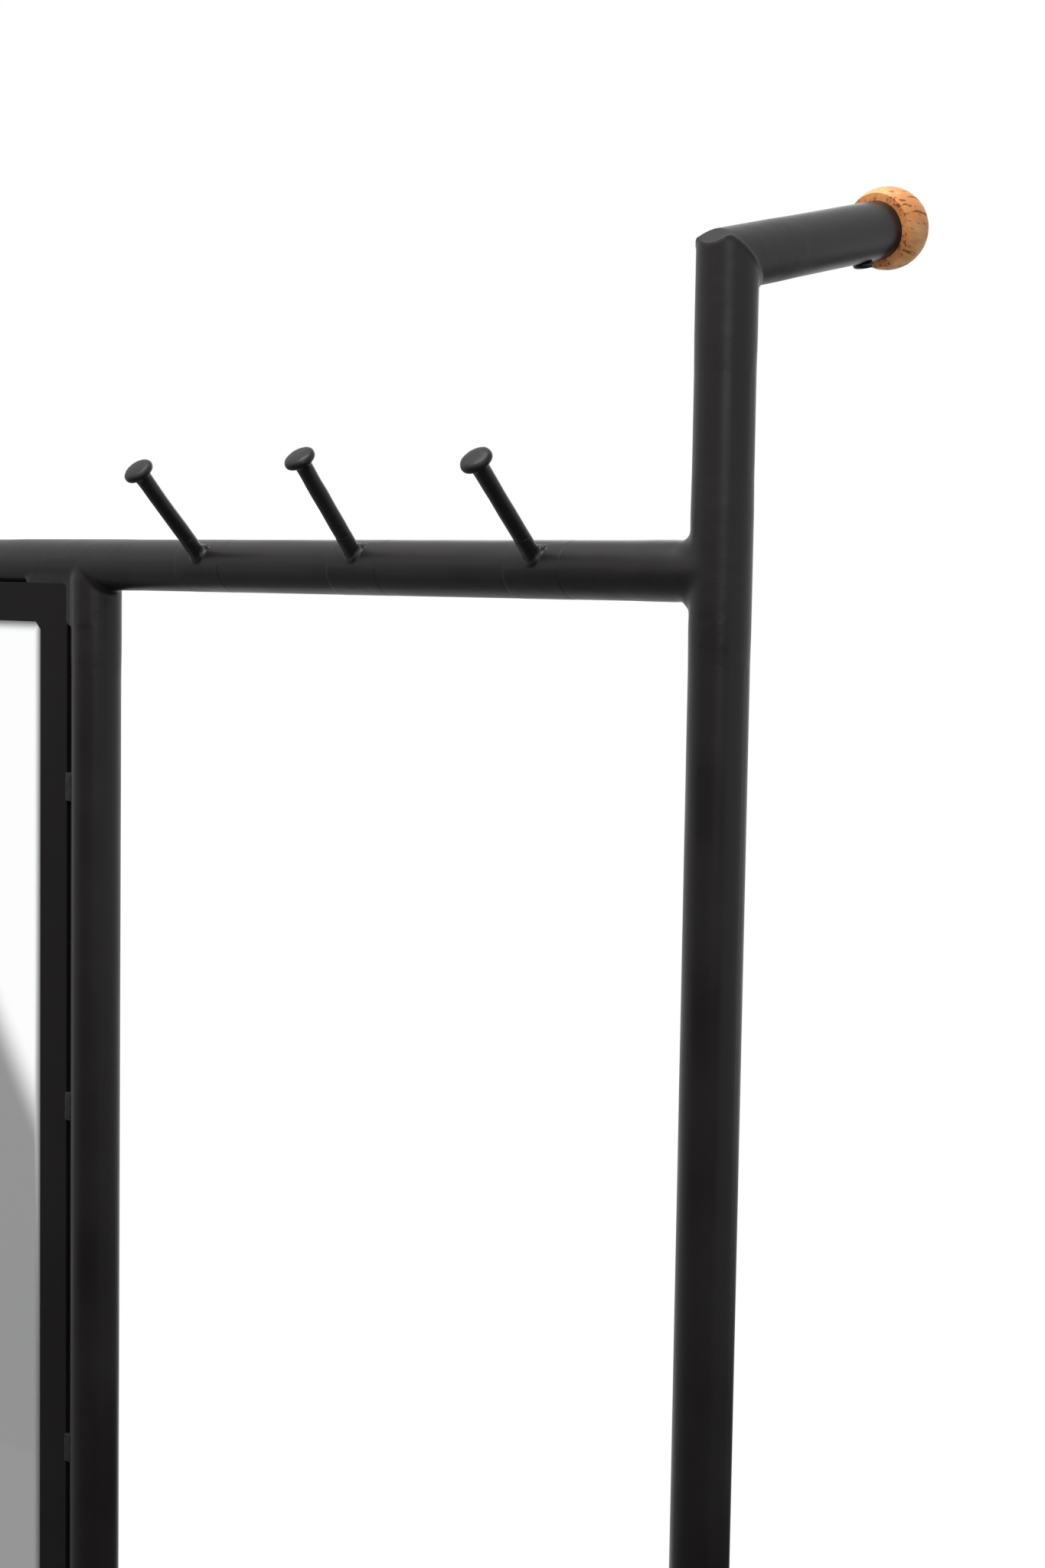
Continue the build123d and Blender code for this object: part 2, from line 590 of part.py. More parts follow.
def foot_washer(x):
    """A washer whose top is hollowed to sit against the foot tube."""
    seat = FOOT_BOTTOM - WASHER_THICKNESS
    body = rod((x, 0, seat), (x, 0, FOOT_BOTTOM + WASHER_SADDLE), WASHER_RADIUS)
    hole = rod((x, 0, seat), (x, 0, FOOT_TOP), FOOT_BOLT_RADIUS + HOLE_CLEARANCE)
    return body - foot_bar(x) - hole


def glide_insert(x, y):
    """A threaded insert in the underside of a foot tube."""
    flange = rod((x, y, INSERT_BOTTOM), (x, y, FOOT_BOTTOM), INSERT_FLANGE_RADIUS)
    body = rod((x, y, FOOT_BOTTOM), (x, y, INSERT_BOTTOM + INSERT_LENGTH), INSERT_RADIUS)
    bore = rod((x, y, 0), (x, y, FOOT_TOP), GLIDE_STUD_RADIUS + HOLE_CLEARANCE)
    return flange + body - bore


def glide_base(x, y):
    """The plastic base of a glide, with the socket of its stud."""
    body = rod((x, y, 0), (x, y, GLIDE_HEIGHT), GLIDE_RADIUS)
    rims = body.edges().filter_by(GeomType.CIRCLE).sort_by(Axis.Z)
    body = chamfer(rims[-1], GLIDE_EDGE)
    floor = GLIDE_HEIGHT - GLIDE_SOCKET
    return body - rod((x, y, floor), (x, y, GLIDE_HEIGHT), GLIDE_STUD_RADIUS + HOLE_CLEARANCE)


def glide_stud(x, y):
    """The stud of a glide, with the hexagon that turns it."""
    hexagon = Pos(x, y, GLIDE_HEIGHT) * extrude(RegularPolygon(GLIDE_HEX_RADIUS, 6), amount=GLIDE_HEX_HEIGHT)
    top = INSERT_BOTTOM + GLIDE_STUD_ENGAGED
    return hexagon + rod((x, y, GLIDE_HEIGHT - GLIDE_SOCKET), (x, y, top), GLIDE_STUD_RADIUS)


def main():
    os.makedirs("parts", exist_ok=True)
    sides = {"right": RIGHT_X, "left": LEFT_X}

    write("right_upright", upright(RIGHT_X))
    write("left_upright", left_upright())
    for side, x in sides.items():
        write(side + "_arm", arm(x))
        write(side + "_arm_ball", arm_ball(x))
        write(side + "_foot_tube", foot_tube(x))
        for end, (glide_x, glide_y) in glide_places(x).items():
            write(end + "_" + side + "_glide_base", glide_base(glide_x, glide_y))
            write(end + "_" + side + "_glide_stud", glide_stud(glide_x, glide_y))
    write("arm_welds", group([piece for x in sides.values() for piece in arm_weld(x)]))
    write("arm_ball_screws", group([ball_screw(x) for x in sides.values()]))

    write("top_crossbar", top_crossbar())
    write("bottom_crossbar", bottom_crossbar())
    write("mirror_side_tube", mirror_side_tube())
    write("crossbar_welds", group(crossbar_welds()))
    write("side_tube_welds", group(side_tube_welds()))

    for name, (offset, rise) in PEGS.items():
        write("coat_peg_" + name, coat_peg(offset, rise))
    write("peg_welds", group([peg_weld(offset, rise) for offset, rise in PEGS.values()]))

    for name, flat in mirror_flats().items():
        write("mirror_flat_" + name, flat)
    write("mirror_corner_welds", group(mirror_corner_welds()))
    write("mirror_stitch_welds", group(mirror_stitch_welds()))
    write("glass_bedding_tape", group(bedding_tape()))
    write("mirror_glass", mirror_sheet(GLASS_FRONT, GLASS_BACK))
    write("back_board", mirror_sheet(GLASS_BACK, BOARD_BACK))
    clip = retaining_clip()
    screw = clip_screw()
    stations = clip_stations()
    write("retaining_clips", group([at_station(point, turn, clip) for name, point, turn in stations]))
    write("clip_screws", group([at_station(point, turn, screw) for name, point, turn in stations]))

    write("foot_end_plugs", group([foot_end_plug(x, way) for x in sides.values() for way in (-1, 1)]))
    write("upright_plugs", group([upright_plug(x) for x in sides.values()]))
    write("foot_bolts", group([foot_bolt(x) for x in sides.values()]))
    write("foot_washers", group([foot_washer(x) for x in sides.values()]))
    inserts = [glide_insert(*place) for x in sides.values() for place in glide_places(x).values()]
    write("glide_inserts", group(inserts))


main()
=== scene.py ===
# %% [markdown]
# # A floor mirror with a coat rack
# This scene dresses a fixed CAD part: a welded frame of round tube that holds a tall mirror on
# the left, leaves a bay for coats on the right, and carries two short arms with wooden balls.
# The CAD nodes give every size. Where a node has the right shape, it only gets a better
# material. Where the real piece has a finer shape, such as a weld, a new piece takes its place.

from math import cos, pi, radians, sin, sqrt

import bmesh
import bpy
from mathutils import Matrix, Vector
from mathutils.kdtree import KDTree


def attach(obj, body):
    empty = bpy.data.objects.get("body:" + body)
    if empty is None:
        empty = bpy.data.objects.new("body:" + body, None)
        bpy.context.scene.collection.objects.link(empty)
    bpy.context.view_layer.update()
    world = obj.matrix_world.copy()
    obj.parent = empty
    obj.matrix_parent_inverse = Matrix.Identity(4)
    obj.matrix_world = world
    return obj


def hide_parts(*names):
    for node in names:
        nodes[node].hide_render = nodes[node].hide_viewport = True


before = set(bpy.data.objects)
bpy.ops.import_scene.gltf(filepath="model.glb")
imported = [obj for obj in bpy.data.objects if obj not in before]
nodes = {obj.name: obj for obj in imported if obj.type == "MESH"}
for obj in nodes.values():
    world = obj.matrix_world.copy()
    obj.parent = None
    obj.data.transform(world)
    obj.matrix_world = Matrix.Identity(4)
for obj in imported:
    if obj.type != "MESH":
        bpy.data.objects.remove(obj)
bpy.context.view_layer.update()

# %% [markdown]
# The sizes below are the ones that the CAD part was built from, in metres. New pieces are made
# from them, so that each lies on its neighbours without a gap. Every point is in the frame of
# the part: +X to the right, +Y to the back, +Z up, with the origin on the floor.

# %% Sizes taken from the part
MM = 0.001
TUBE_RADIUS = 13.45 * MM
BORE_RADIUS = 11.45 * MM
RIGHT_X = 434.5 * MM
LEFT_X = -RIGHT_X
SIDE_TUBE_X = 15.5 * MM
TOP_BAR_Z = 1630 * MM
BOTTOM_BAR_Z = 150 * MM
ARM_CORNER_Z = 1763 * MM
ARM_RISE = radians(12.4)
ARM_LENGTH = 117 * MM
ARM_ALONG = Vector((0, cos(ARM_RISE), sin(ARM_RISE)))
UP = Vector((0, 0, 1))
print("the arm points along", [round(value, 3) for value in ARM_ALONG])

# %% [markdown]
# ## Camera
# The photograph is a close view from the front right, at about head height, of the top right
# corner of the piece. The camera's place and lens were worked out from the straight edges of
# the tubes. The lens length belongs to a sensor that is 36 mm high.

# %% Place the camera
CAMERA_PLACE = (1.0910, -0.8816, 1.6237)
CAMERA_TURN = (radians(85.462), radians(-0.903), radians(41.136))
LENS_LENGTH = 58.13
SENSOR_HEIGHT = 36

camera_data = bpy.data.cameras.new("photo_camera")
camera_data.sensor_fit = "VERTICAL"
camera_data.sensor_height = SENSOR_HEIGHT
camera_data.lens = LENS_LENGTH
camera_data.clip_start = 0.01
camera = bpy.data.objects.new("photo_camera", camera_data)
camera.location = CAMERA_PLACE
camera.rotation_euler = CAMERA_TURN
bpy.context.scene.collection.objects.link(camera)
bpy.context.scene.camera = camera
bpy.context.scene.view_settings.view_transform = "Standard"
print("the camera stands", round(Vector(CAMERA_PLACE).xy.length, 2), "m from the middle")

# %% [markdown]
# ## Helpers for shader nodes
# The white world, the floor and every finish are built from shader nodes. Each of these short
# functions adds a node and links it, so that the later cells read like a recipe.

# %% Helpers for node trees


def new_group(name, inputs, outputs):
    """A shader node group with named inputs (name, kind, default) and outputs (name, kind)."""
    group = bpy.data.node_groups.new(name, "ShaderNodeTree")
    for socket_name, kind, default in inputs:
        socket = group.interface.new_socket(socket_name, in_out="INPUT",
                                            socket_type="NodeSocket" + kind)
        socket.default_value = default
    for socket_name, kind in outputs:
        group.interface.new_socket(socket_name, in_out="OUTPUT",
                                   socket_type="NodeSocket" + kind)
    return group, group.nodes.new("NodeGroupInput"), group.nodes.new("NodeGroupOutput")


def add_noise(tree, coordinates, scale, detail=2.0, roughness=0.5):
    """A noise texture of a plain scale, in features per metre."""
    noise = tree.nodes.new("ShaderNodeTexNoise")
    noise.inputs["Scale"].default_value = scale
    noise.inputs["Detail"].default_value = detail
    noise.inputs["Roughness"].default_value = roughness
    tree.links.new(coordinates, noise.inputs["Vector"])
    return noise.outputs["Fac"]


def add_range(tree, value, from_min, from_max, to_min=0.0, to_max=1.0, step="SMOOTHSTEP"):
    """Map a value from one range to another, clamped, with soft ends."""
    node = tree.nodes.new("ShaderNodeMapRange")
    node.interpolation_type = step
    for socket, number in (("From Min", from_min), ("From Max", from_max),
                           ("To Min", to_min), ("To Max", to_max)):
        if isinstance(number, bpy.types.NodeSocket):
            tree.links.new(number, node.inputs[socket])
        else:
            node.inputs[socket].default_value = number
    tree.links.new(value, node.inputs["Value"])
    return node.outputs["Result"]


def add_math(tree, operation, first, second=None):
    """A math node of two values, each a socket or a number."""
    node = tree.nodes.new("ShaderNodeMath")
    node.operation = operation
    for index, value in enumerate((first, second)):
        if isinstance(value, bpy.types.NodeSocket):
            tree.links.new(value, node.inputs[index])
        elif value is not None:
            node.inputs[index].default_value = value
    return node.outputs[0]


def add_colour_mix(tree, factor, first, second):
    """Mix two colours, each a socket or four numbers."""
    node = tree.nodes.new("ShaderNodeMix")
    node.data_type = "RGBA"
    for socket, value in ((node.inputs[0], factor), (node.inputs[6], first),
                          (node.inputs[7], second)):
        if isinstance(value, bpy.types.NodeSocket):
            tree.links.new(value, socket)
        else:
            socket.default_value = value
    return node.outputs[2]


def object_place(tree, stretch=(1, 1, 1), turn=(0, 0, 0)):
    """Object coordinates, stretched or turned to suit a grain."""
    place = tree.nodes.new("ShaderNodeTexCoord")
    mapping = tree.nodes.new("ShaderNodeMapping")
    mapping.inputs["Scale"].default_value = stretch
    mapping.inputs["Rotation"].default_value = turn
    tree.links.new(place.outputs["Object"], mapping.inputs["Vector"])
    return mapping.outputs["Vector"]


def mix_shaders(tree, factor, first, second):
    """Mix two shaders by a factor."""
    mix = tree.nodes.new("ShaderNodeMixShader")
    for socket, value in zip(mix.inputs, (factor, first, second)):
        tree.links.new(value, socket)
    return mix.outputs[0]


def start_material(name):
    """An empty material with its shader and the tree that feeds it."""
    material = bpy.data.materials.new(name)
    material.use_nodes = True
    return material, material.node_tree, material.node_tree.nodes["Principled BSDF"]


print("node helpers are ready")

# %% [markdown]
# ## Studio
# The photograph has a plain white backdrop. Here the world is white for camera, glossy and
# transmission rays, and a calmer grey for diffuse rays, so the backdrop can be pure white
# without flooding the object with light. Three soft lamps give the shape: a wide one overhead,
# a weaker one from the right and one from behind.

# %% White world
DIFFUSE_LEVEL = 0.30

world = bpy.data.worlds.new("studio_world")
bpy.context.scene.world = world
world.use_nodes = True
world_tree = world.node_tree
world_tree.nodes.clear()


def add_background(strength):
    """A white background of a plain strength."""
    background = world_tree.nodes.new("ShaderNodeBackground")
    background.inputs["Color"].default_value = (1, 1, 1, 1)
    background.inputs["Strength"].default_value = strength
    return background.outputs[0]


rays = world_tree.nodes.new("ShaderNodeLightPath").outputs
seen_rays = add_math(world_tree, "MAXIMUM", rays["Is Camera Ray"], rays["Is Glossy Ray"])
seen_rays = add_math(world_tree, "MAXIMUM", seen_rays, rays["Is Transmission Ray"])
world_light = mix_shaders(world_tree, seen_rays, add_background(DIFFUSE_LEVEL), add_background(1))
world_output = world_tree.nodes.new("ShaderNodeOutputWorld")
world_tree.links.new(world_light, world_output.inputs["Surface"])
print("the world lights diffuse surfaces at", DIFFUSE_LEVEL)

# %% Soft lamps


def add_soft_lamp(name, place, target, width, height, watts):
    """A rectangular lamp at a place, turned towards a target."""
    data = bpy.data.lights.new(name, "AREA")
    data.shape = "RECTANGLE"
    data.size = width
    data.size_y = height
    data.energy = watts
    lamp = bpy.data.objects.new(name, data)
    lamp.location = place
    lamp.rotation_euler = (Vector(target) - Vector(place)).to_track_quat("-Z", "Y").to_euler()
    bpy.context.scene.collection.objects.link(lamp)
    return lamp


OBJECT_MIDDLE = (0, 0, 1.1)
add_soft_lamp("overhead_softbox", (0.3, -0.7, 3.3), OBJECT_MIDDLE, 1.7, 1.5, 48)
add_soft_lamp("right_softbox", (2.4, -2.2, 2.3), OBJECT_MIDDLE, 1.0, 1.0, 12)
add_soft_lamp("back_softbox", (-1.2, 2.6, 2.6), OBJECT_MIDDLE, 2.4, 1.6, 14)
print("lamps:", [lamp.name for lamp in bpy.data.lights])

# %% [markdown]
# The floor is a pale disc that fades into the white world at its rim, so that no edge of it
# shows. Two grey cards stand in front and a third lies just above the floor, and only
# reflections see them. They give the satin paint its dark band, and the mirror the soft
# slanted change from white to grey that the photograph shows.

# %% Pale floor
FLOOR_RADIUS = 2.5
FLOOR_PALE = (0.74, 0.735, 0.73, 1)
FADE_START = 0.35 * FLOOR_RADIUS
FADE_END = 0.98 * FLOOR_RADIUS

bpy.ops.object.select_all(action="DESELECT")
bpy.ops.mesh.primitive_circle_add(vertices=96, radius=FLOOR_RADIUS, fill_type="NGON",
                                  location=(0, 0, 0))
floor = bpy.context.object
floor.name = "studio_floor"

floor_paint, floor_tree, floor_shader = start_material("studio_floor")
floor_shader.inputs["Base Color"].default_value = FLOOR_PALE
floor_shader.inputs["Roughness"].default_value = 0.9
floor_shader.inputs["Specular IOR Level"].default_value = 0.1
floor_clear = floor_tree.nodes.new("ShaderNodeBsdfTransparent")
floor_place = floor_tree.nodes.new("ShaderNodeTexCoord")
floor_distance = floor_tree.nodes.new("ShaderNodeVectorMath")
floor_distance.operation = "LENGTH"
floor_tree.links.new(floor_place.outputs["Object"], floor_distance.inputs[0])
floor_fade = add_range(floor_tree, floor_distance.outputs["Value"], FADE_START, FADE_END,
                       step="SMOOTHERSTEP")
floor_mix = mix_shaders(floor_tree, floor_fade, floor_shader.outputs[0], floor_clear.outputs[0])
floor_tree.links.new(floor_mix, floor_tree.nodes["Material Output"].inputs["Surface"])
floor.data.materials.append(floor_paint)
print("the floor reaches", FLOOR_RADIUS, "m out")

# %% Grey cards for reflections
LEFT_CHANGE = (-0.5, 0.4)


def show_to_reflections_only(card):
    """Hide a card from all rays but glossy ones."""
    for ray_kind in ("camera", "diffuse", "transmission", "volume_scatter", "shadow"):
        setattr(card, "visible_" + ray_kind, False)


def start_card_material(card):
    """A glowing material for a card: its tree, the axes of a point on it, and its glow."""
    material = bpy.data.materials.new(card.name)
    material.use_nodes = True
    tree = material.node_tree
    tree.nodes.clear()
    place = tree.nodes.new("ShaderNodeTexCoord")
    axes = tree.nodes.new("ShaderNodeSeparateXYZ")
    tree.links.new(place.outputs["Object"], axes.inputs[0])
    card.data.materials.append(material)
    return tree, axes.outputs, tree.nodes.new("ShaderNodeEmission")


def show_surface(tree, shader):
    """Make a shader the surface of a cleared material."""
    output = tree.nodes.new("ShaderNodeOutputMaterial")
    tree.links.new(shader, output.inputs["Surface"])


def add_grey_card(name, left, right, bottom, top, depth, grey, edge_point, edge_slope, softness):
    """An upright card that only glossy rays see. It is clear above a soft slanted edge."""
    bpy.ops.object.select_all(action="DESELECT")
    bpy.ops.mesh.primitive_plane_add(size=1, location=(0, 0, 0))
    card = bpy.context.object
    card.name = name
    bpy.ops.object.mode_set(mode="EDIT")
    bpy.ops.transform.resize(value=(right - left, top - bottom, 1), center_override=(0, 0, 0))
    bpy.ops.object.mode_set(mode="OBJECT")
    card.data.transform(Matrix.Rotation(radians(90), 4, "X"))
    card.data.transform(Matrix.Translation(((left + right) / 2, depth, (bottom + top) / 2)))
    show_to_reflections_only(card)
    tree, axes, glow = start_card_material(card)
    glow.inputs["Color"].default_value = (grey, grey, grey, 1)
    slant = add_math(tree, "MULTIPLY", axes["X"], edge_slope)
    height = add_math(tree, "SUBTRACT", axes["Z"], slant)
    edge_height = edge_point[1] - edge_slope * edge_point[0]
    fade = add_range(tree, height, edge_height - softness / 2, edge_height + softness / 2)
    clear = tree.nodes.new("ShaderNodeBsdfTransparent")
    show_surface(tree, mix_shaders(tree, fade, glow.outputs[0], clear.outputs[0]))
    return card


add_grey_card("left_grey_card", -5.0, -1.9, 0.0, 3.0, -2.0, 0.30, (-2.60, 0.69), -1.4, 0.16)
add_grey_card("right_grey_card", -1.9, 5.0, 0.0, 2.4, -2.0, 0.12, (2.2, 1.66), 0.0, 0.5)


def add_floor_card(name, radius, place, left_greys, right_grey, change_from, change_to):
    """A disc just above the floor for glossy rays. It is darkest at the right. At the left its
    front and its back have a grey each."""
    bpy.ops.object.select_all(action="DESELECT")
    bpy.ops.mesh.primitive_circle_add(vertices=64, radius=radius, fill_type="NGON",
                                      location=(0, 0, 0))
    card = bpy.context.object
    card.name = name
    card.data.transform(Matrix.Translation(place))
    show_to_reflections_only(card)
    tree, axes, glow = start_card_material(card)
    left_grey = add_range(tree, axes["Y"], *LEFT_CHANGE, *left_greys)
    strength = add_range(tree, axes["X"], change_from, change_to, left_grey, right_grey)
    tree.links.new(strength, glow.inputs["Strength"])
    show_surface(tree, glow.outputs[0])
    return card


add_floor_card("grey_floor_card", 5.0, (0.5, 0.5, 0.002), (0.31, 0.85), 0.045, -0.9, 0.2)
print("two cards stand in front of the object and one lies under it")

# %% [markdown]
# ## Materials
# Every finish is built from nodes that read Object coordinates, so a pattern stays at its real
# scale and runs on from a CAD node to the welds made here. Effects that several finishes share
# are node groups, built once. A group puts out only colours, masks and values, and the shader
# stays in the material.
#
# Sprayed paint is never one flat colour. It lies thicker here and thinner there, so both its
# colour and its gloss drift over a few centimetres, and its skin has the fine dimples called
# orange peel. This group gives all three, for the frame's paint, the welds and the plastics.

# %% Group: sprayed skin
sprayed_skin, skin_in, skin_out = new_group(
    "sprayed_skin",
    [("Coordinates", "Vector", (0, 0, 0)), ("Colour", "Color", (0.5, 0.5, 0.5, 1)),
     ("Thin Colour", "Color", (0.5, 0.5, 0.5, 1)), ("Drift Scale", "Float", 14.0),
     ("Roughness", "Float", 0.4), ("Roughness Drift", "Float", 0.1),
     ("Dimple Scale", "Float", 700.0)],
    [("Colour", "Color"), ("Roughness", "Float"), ("Height", "Float")])
skin_noise = sprayed_skin.nodes.new("ShaderNodeTexNoise")
skin_noise.inputs["Detail"].default_value = 4
sprayed_skin.links.new(skin_in.outputs["Coordinates"], skin_noise.inputs["Vector"])
sprayed_skin.links.new(skin_in.outputs["Drift Scale"], skin_noise.inputs["Scale"])
skin_drift = add_range(sprayed_skin, skin_noise.outputs["Fac"], 0.3, 0.7)
sprayed_skin.links.new(
    add_colour_mix(sprayed_skin, skin_drift, skin_in.outputs["Colour"],
                   skin_in.outputs["Thin Colour"]),
    skin_out.inputs["Colour"])
skin_swing = add_math(sprayed_skin, "MULTIPLY", add_math(sprayed_skin, "SUBTRACT", skin_drift, 0.5),
                      skin_in.outputs["Roughness Drift"])
sprayed_skin.links.new(add_math(sprayed_skin, "ADD", skin_in.outputs["Roughness"], skin_swing),
                       skin_out.inputs["Roughness"])
skin_dimples = sprayed_skin.nodes.new("ShaderNodeTexNoise")
skin_dimples.inputs["Detail"].default_value = 1
sprayed_skin.links.new(skin_in.outputs["Coordinates"], skin_dimples.inputs["Vector"])
sprayed_skin.links.new(skin_in.outputs["Dimple Scale"], skin_dimples.inputs["Scale"])
sprayed_skin.links.new(skin_dimples.outputs["Fac"], skin_out.inputs["Height"])
print("sprayed_skin has", len(sprayed_skin.nodes), "nodes")

# %% [markdown]
# Grinding leaves low, broad facets and short scratches under the paint. The paint over them is
# duller and its reflections wander. The group gives a mask for the duller patches and a height
# for the facets, and it is used on the welds, the peg heads and the cut steel of the fasteners.

# %% Group: ground metal
ground_metal, ground_in, ground_out = new_group(
    "ground_metal",
    [("Coordinates", "Vector", (0, 0, 0)), ("Facet Scale", "Float", 120.0),
     ("Scratch Scale", "Float", 900.0)],
    [("Patches", "Float"), ("Height", "Float")])
ground_facets = ground_metal.nodes.new("ShaderNodeTexVoronoi")
ground_facets.feature = "SMOOTH_F1"
ground_metal.links.new(ground_in.outputs["Coordinates"], ground_facets.inputs["Vector"])
ground_metal.links.new(ground_in.outputs["Facet Scale"], ground_facets.inputs["Scale"])
ground_noise = ground_metal.nodes.new("ShaderNodeTexNoise")
ground_noise.inputs["Detail"].default_value = 3
ground_metal.links.new(ground_in.outputs["Coordinates"], ground_noise.inputs["Vector"])
ground_metal.links.new(ground_in.outputs["Scratch Scale"], ground_noise.inputs["Scale"])
ground_metal.links.new(add_range(ground_metal, ground_facets.outputs["Distance"], 0.15, 0.75),
                       ground_out.inputs["Patches"])
ground_scratch = add_math(ground_metal, "MULTIPLY", ground_noise.outputs["Fac"], 0.15)
ground_height = add_math(ground_metal, "ADD", ground_facets.outputs["Distance"], ground_scratch)
ground_metal.links.new(ground_height, ground_out.inputs["Height"])
print("ground_metal has", len(ground_metal.nodes), "nodes")

# %% Helpers for finished materials


def add_group(tree, group, coordinates, **values):
    """Place a node group and set its inputs; an underscore in a name stands for a space."""
    node = tree.nodes.new("ShaderNodeGroup")
    node.node_tree = group
    tree.links.new(coordinates, node.inputs["Coordinates"])
    for key, value in values.items():
        node.inputs[key.replace("_", " ")].default_value = value
    return node


def add_bump(tree, shader, height, distance, strength=1.0):
    """Feed a height to the shader's normal, as a bump of a real depth in metres."""
    bump = tree.nodes.new("ShaderNodeBump")
    bump.inputs["Distance"].default_value = distance
    bump.inputs["Strength"].default_value = strength
    tree.links.new(height, bump.inputs["Height"])
    tree.links.new(bump.outputs[0], shader.inputs["Normal"])


def sprayed_material(name, colour, thin_colour, roughness, drift, dimple_depth, **skin_values):
    """A sprayed or moulded finish built on the sprayed_skin group."""
    material, tree, shader = start_material(name)
    skin = add_group(tree, sprayed_skin, object_place(tree), Colour=(*colour, 1),
                     Thin_Colour=(*thin_colour, 1), Roughness=roughness, Roughness_Drift=drift,
                     **skin_values)
    tree.links.new(skin.outputs["Colour"], shader.inputs["Base Color"])
    tree.links.new(skin.outputs["Roughness"], shader.inputs["Roughness"])
    add_bump(tree, shader, skin.outputs["Height"], dimple_depth)
    return material, tree, shader, skin


print("helpers for materials are ready")

# %% Satin black paint of the frame
BLACK = (0.0078, 0.0062, 0.0068)
THIN_BLACK = (0.0125, 0.0106, 0.0108)
PAINT_SPECULAR = 0.27

frame_paint, _, frame_shader, _ = sprayed_material("satin_black_paint", BLACK, THIN_BLACK,
                                                   0.36, 0.10, 0.02 * MM)
frame_shader.inputs["Specular IOR Level"].default_value = PAINT_SPECULAR
print("made", frame_paint.name)

# %% Paint over ground welds
weld_paint, weld_tree, weld_shader, weld_skin = sprayed_material(
    "black_paint_on_welds", BLACK, THIN_BLACK, 0.37, 0.12, 0.02 * MM)
weld_shader.inputs["Specular IOR Level"].default_value = PAINT_SPECULAR
weld_ground = add_group(weld_tree, ground_metal, object_place(weld_tree), Facet_Scale=150.0)
weld_height = add_math(weld_tree, "ADD", weld_skin.outputs["Height"],
                       add_math(weld_tree, "MULTIPLY", weld_ground.outputs["Height"], 4.0))
add_bump(weld_tree, weld_shader, weld_height, 0.03 * MM)
print("made", weld_paint.name)

# %% Duller paint of the flat bars, darker as painted shade
# A copy of the frame's paint with less gloss and a slightly darker colour. The darker colour is
# painted shade.
flats_paint_and_shade, _, flat_shader, _ = sprayed_material(
    "dull_black_paint_on_flats_with_painted_shade", (0.0070, 0.0056, 0.0064), (0.0095, 0.0080, 0.0086),
    0.42, 0.08, 0.02 * MM)
flat_shader.inputs["Specular IOR Level"].default_value = 0.075
print("made", flats_paint_and_shade.name)

# %% [markdown]
# ## Welded joints
# On the real piece the tubes are cut to fit, welded all round, ground and painted, so a joint
# has no sharp line: the weld runs out softly on both tubes. A boolean would leave a hard edge.
# Here each joint is made as a welder makes it. Short sleeves a hair wider than the tubes are
# set together, a bead is laid along the seam, and all of it is fused with a voxel remesh and
# smoothed, as by a grinder. The ends of a sleeve shrink into the tube and vanish.

# %% Helpers for modelling
SLEEVE_SKIN = 0.06 * MM
SLEEVE_END = -0.15
SLEEVE_MIDDLE = 0.20
SLEEVE_TAPER = 26.0


def pick(piece):
    """Select one piece alone and make it active."""
    bpy.ops.object.select_all(action="DESELECT")
    piece.select_set(True)
    bpy.context.view_layer.objects.active = piece


def rename(piece, name):
    """Name a piece and its mesh."""
    piece.name = name
    piece.data.name = name
    return piece


def edit_all():
    """Open the active piece's mesh with all of it selected."""
    bpy.ops.object.mode_set(mode="EDIT")
    bpy.ops.mesh.select_all(action="SELECT")


def add_bar(start, end, radius, corners=72):
    """A round bar from one point to another, its place in its mesh."""
    start, end = Vector(start), Vector(end)
    turn = (end - start).to_track_quat("Z", "Y").to_euler()
    bpy.ops.object.select_all(action="DESELECT")
    bpy.ops.mesh.primitive_cylinder_add(vertices=corners, radius=radius, depth=(end - start).length,
                                        location=(start + end) / 2, rotation=turn)
    bpy.ops.object.transform_apply(location=True, rotation=True, scale=True)
    return bpy.context.object


def turn_piece(name, start, direction, rings, corners=64):
    """A turned solid. Rings are pairs of distance along the axis and radius, in millimetres."""
    direction = Vector(direction).normalized()
    first_place, first_radius = rings[0]
    bpy.ops.object.select_all(action="DESELECT")
    bpy.ops.mesh.primitive_circle_add(vertices=corners, radius=first_radius * MM, fill_type="NGON",
                                      location=(0, 0, 0))
    piece = bpy.context.object
    edit_all()
    bpy.ops.transform.translate(value=(0, 0, first_place * MM))
    place, radius = first_place, first_radius
    for next_place, next_radius in rings[1:]:
        step = (0, 0, (next_place - place) * MM)
        bpy.ops.mesh.extrude_region_move(TRANSFORM_OT_translate={"value": step})
        factor = next_radius / radius
        bpy.ops.transform.resize(value=(factor, factor, 1), center_override=(0, 0, next_place * MM))
        place, radius = next_place, next_radius
    bpy.ops.mesh.select_all(action="SELECT")
    bpy.ops.mesh.normals_make_consistent(inside=False)
    bpy.ops.object.mode_set(mode="OBJECT")
    piece.data.transform(direction.to_track_quat("Z", "Y").to_matrix().to_4x4())
    piece.data.transform(Matrix.Translation(start))
    return rename(piece, name)


def add_sleeve(start, end, free_start=True, free_end=True):
    """A sleeve over a tube, its ends and middle a little under or over the tube's radius, in
    millimetres. Each free end shrinks into the tube, so that it leaves no line."""
    start, end = Vector(start), Vector(end)
    length = (end - start).length / MM
    tube = TUBE_RADIUS / MM
    slope = min(SLEEVE_TAPER, length / 2.4)
    narrow, wide = tube + SLEEVE_END, tube + SLEEVE_MIDDLE
    rings = [(0.0, narrow), (slope, wide)] if free_start else [(0.0, wide)]
    rings += [(length - slope, wide), (length, narrow)] if free_end else [(length, wide)]
    return turn_piece("sleeve", start, end - start, rings, corners=96)


